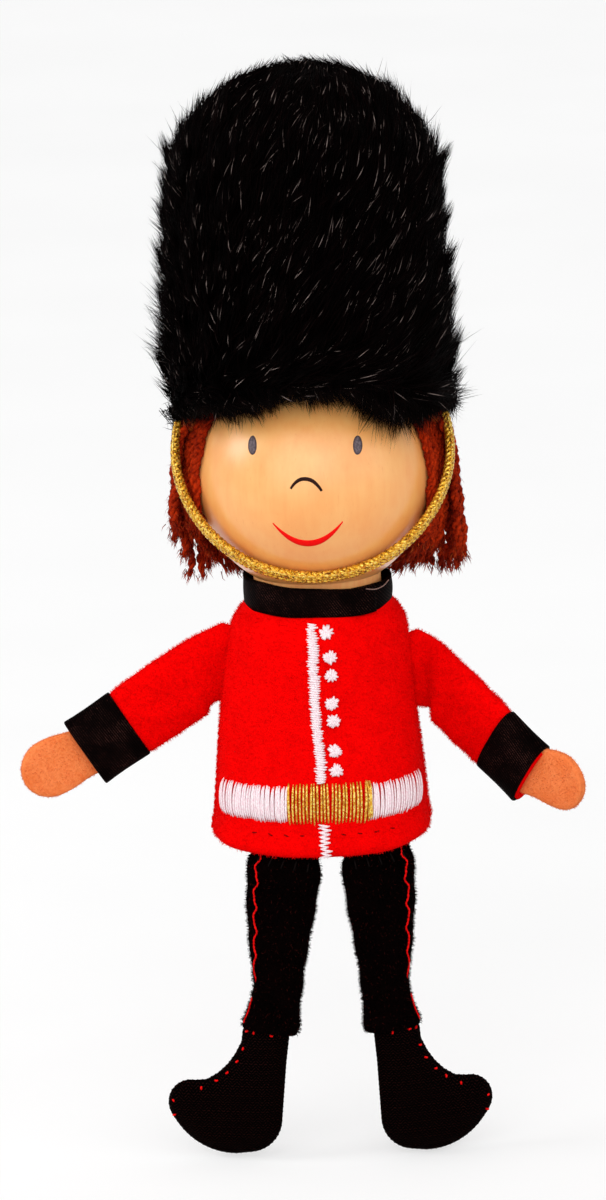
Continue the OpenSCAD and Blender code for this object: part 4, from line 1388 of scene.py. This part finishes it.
def make_boot(leg):
    """Two layers of twill over a little wadding, sewn round the edge."""
    outline = boot_outline()
    step = 0.45
    low, high = outline.min(axis=0), outline.max(axis=0)
    across, upward = np.meshgrid(np.arange(low[0], high[0], step), np.arange(low[1], high[1], step))
    across = across + 0.5 * step * (np.arange(len(across)) % 2)[:, None]
    spots = np.column_stack([across.ravel(), upward.ravel()])
    spots = spots[inside(spots, outline) & (edge_distance(spots, outline) > 0.28)]
    flat = np.concatenate([outline, spots])
    rim = len(outline)
    edges = [(i, (i + 1) % rim) for i in range(rim)]
    triangles = np.array(delaunay_2d_cdt([Vector(spot) for spot in flat], edges, [], 1, 1e-6)[2])
    away = edge_distance(flat, outline)
    rise = 1 - np.minimum(away / BOOT_SLOPE, 1)
    swell = 0.12 + BOOT_PUFF * np.sqrt(np.maximum(1 - rise ** 2, 0))
    ripple = 0.1 * np.sin(2.1 * flat[:, 1] + 0.5 * flat[:, 0]) * np.minimum(away / 2, 1)
    deep = swell - 0.22 * bell(away, 0.75, 0.28) + ripple
    deep = deep * (1 - 0.35 * ease((flat[:, 1] + 0.6) / 1.5))
    layers = [np.column_stack([flat[:, 0], face * deep, flat[:, 1] - TROUSER_LEN]) for face in (-1, 1)]
    count = len(flat)
    steps, nexts = np.array(edges).T
    side = np.stack([steps, nexts, count + nexts, count + steps], axis=1)
    boot = Shape().add(np.concatenate(layers), triangles, triangles[:, ::-1] + count, side[:, ::-1])
    leg.finish(boot, "_boot_twill", TWILL, ["_boot_front", "_boot_back"])
    make_boot_stitches(leg, outline, flat, deep)


def make_boot_stitches(leg, outline, flat, deep):
    """Black overcast stitches round the edge, and red knots on the instep, toe and cuff."""
    overcast = Shape()
    along = np.roll(outline, 1, axis=0) - np.roll(outline, -1, axis=0)
    inward = unit(np.column_stack([-along[:, 1], along[:, 0]]))
    inward = inward * np.where(np.sum(inward * (np.array([3, -9]) - outline), axis=1) > 0, 1, -1)[:, None]
    share = np.linspace(-1, 1, 7)
    for i in np.flatnonzero(outline[:, 1] < -0.8)[::2]:
        x, y = (outline[i] + inward[i] * 0.5 * share[:, None] ** 2).T
        overcast.tube(np.column_stack([x, 0.4 * share, y + 0.12 * share - TROUSER_LEN]), 0.08, 5)
    leg.finish(overcast, "_boot_edge_stitches", BLACK_THREAD)
    knots = Shape()
    red = BOOT_H * np.array([[0.15, -0.17], [0.185, -0.275], [0.25, -0.375], [0.325, -0.45], [0.43, -0.525],
                             [0.63, -0.66], [0.615, -0.77]])
    cuff = np.array([[-1.0, -0.4], [1.3, -0.4], [2.3, -0.5]])
    share = np.linspace(-1, 1, 6)
    for knot in np.concatenate([red, cuff]):
        face = -deep[np.argmin(np.linalg.norm(flat - knot, axis=1))]
        tilt = 0.16 * unit(chance.normal(size=2) * np.array([1, 0.6]))
        x, y = (knot + share[:, None] * tilt).T
        lift = 0.02 + 0.14 * np.cos(0.5 * math.pi * share)
        knots.tube(np.column_stack([x, face - lift, y - TROUSER_LEN]), 0.14)
    leg.finish(knots, "_boot_knots", RED_THREAD, ["_boot_stitches"])


def make_legs():
    """Both legs, each splayed in its own way."""
    for leg in (Leg(RIGHT, (5.4, -7.723, -29.5), turn=12.42, splay=8.2),
                Leg(LEFT, (6.3, -7.501, -29.5), turn=16.14, splay=4.6)):
        make_hip_stitches(leg)
        make_trouser(leg)
        make_stripe(leg)
        make_boot(leg)


# CAD pieces that stay, with their finishes

def dress_cad():
    """Pieces whose CAD shape is right keep it and get a finish."""
    kept = {"head_ball": WOOD, "neck_tube": TUBE_WOOD, "hat_wadding": WADDING, "strap_end_right": STRAP_LINE,
            "strap_end_left": STRAP_LINE}
    for name, material in kept.items():
        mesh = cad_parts[name].data
        mesh.materials.clear()
        mesh.materials.append(material)


# Camera, light and floor

# Height of the picture at the puppet, distance of the camera, the point it looks at, and its tilts
VIEW_TALL = 150
VIEW_DISTANCE = 800
VIEW_AIM = Vector((-1.88, -3.45, 3.44))
VIEW_RISE = math.radians(12.5)
VIEW_ROLL = math.radians(2.05)
FLOOR_HALF = 4000
LAMP_DISTANCE = 550


def make_camera():
    """Long lens at the photograph's height and roll."""
    back = Vector((0, -math.cos(VIEW_RISE), math.sin(VIEW_RISE)))
    level = Vector((1, 0, 0))
    upright = Vector((0, math.sin(VIEW_RISE), math.cos(VIEW_RISE)))
    right = level * math.cos(VIEW_ROLL) - upright * math.sin(VIEW_ROLL)
    up = upright * math.cos(VIEW_ROLL) + level * math.sin(VIEW_ROLL)
    data = bpy.data.cameras.new("camera")
    data.lens = data.sensor_width * VIEW_DISTANCE / VIEW_TALL
    data.clip_start = 0.05
    data.clip_end = 30
    camera = add_object("camera", data)
    turned = Matrix((right, up, back)).transposed().to_4x4()
    camera.matrix_world = Matrix.Translation((VIEW_AIM + back * VIEW_DISTANCE) * MM) @ turned
    bpy.context.scene.camera = camera


def make_light(name, kind, toward, strength, **settings):
    """A lamp that shines along a direction."""
    data = bpy.data.lights.new(name, kind)
    data.energy = strength
    for key, value in settings.items():
        setattr(data, key, value)
    lamp = add_object(name, data)
    direction = Vector(toward).normalized()
    lamp.location = -direction * LAMP_DISTANCE * MM
    lamp.rotation_euler = direction.to_track_quat("-Z", "Y").to_euler()


def make_studio():
    """Soft light from the upper left, a fill from the right, and a white surround."""
    make_light("key", "SUN", (0.25, 0.92, -0.38), 1.25, angle=math.radians(60))
    make_light("fill", "SUN", (-0.62, 0.76, -0.2), 1.1, angle=math.radians(70))
    make_light("softbox", "AREA", (0.9, 0.1, -0.44), 0.85, size=0.2)
    world = bpy.data.worlds.new("surround")
    bpy.context.scene.world = world
    world.use_nodes = True
    background = world.node_tree.nodes["Background"].inputs
    background["Color"].default_value = WHITE
    background["Strength"].default_value = 0.57
    mesh = bpy.data.meshes.new("floor")
    corners = [(x * FLOOR_HALF * MM, y * FLOOR_HALF * MM, FLOOR_Z * MM)
               for x, y in ((-1, -1), (1, -1), (1, 1), (-1, 1))]
    mesh.from_pydata(corners, [], [(0, 1, 2, 3)])
    mesh.materials.append(white_floor())
    add_object("floor", mesh)
    bpy.context.scene.view_settings.view_transform = "Standard"


make_camera()
make_studio()
dress_cad()
make_hat_cloth()
make_fur()
make_hair()
make_strap()
make_face()
make_collar()
make_tunic()
make_arms()
make_legs()
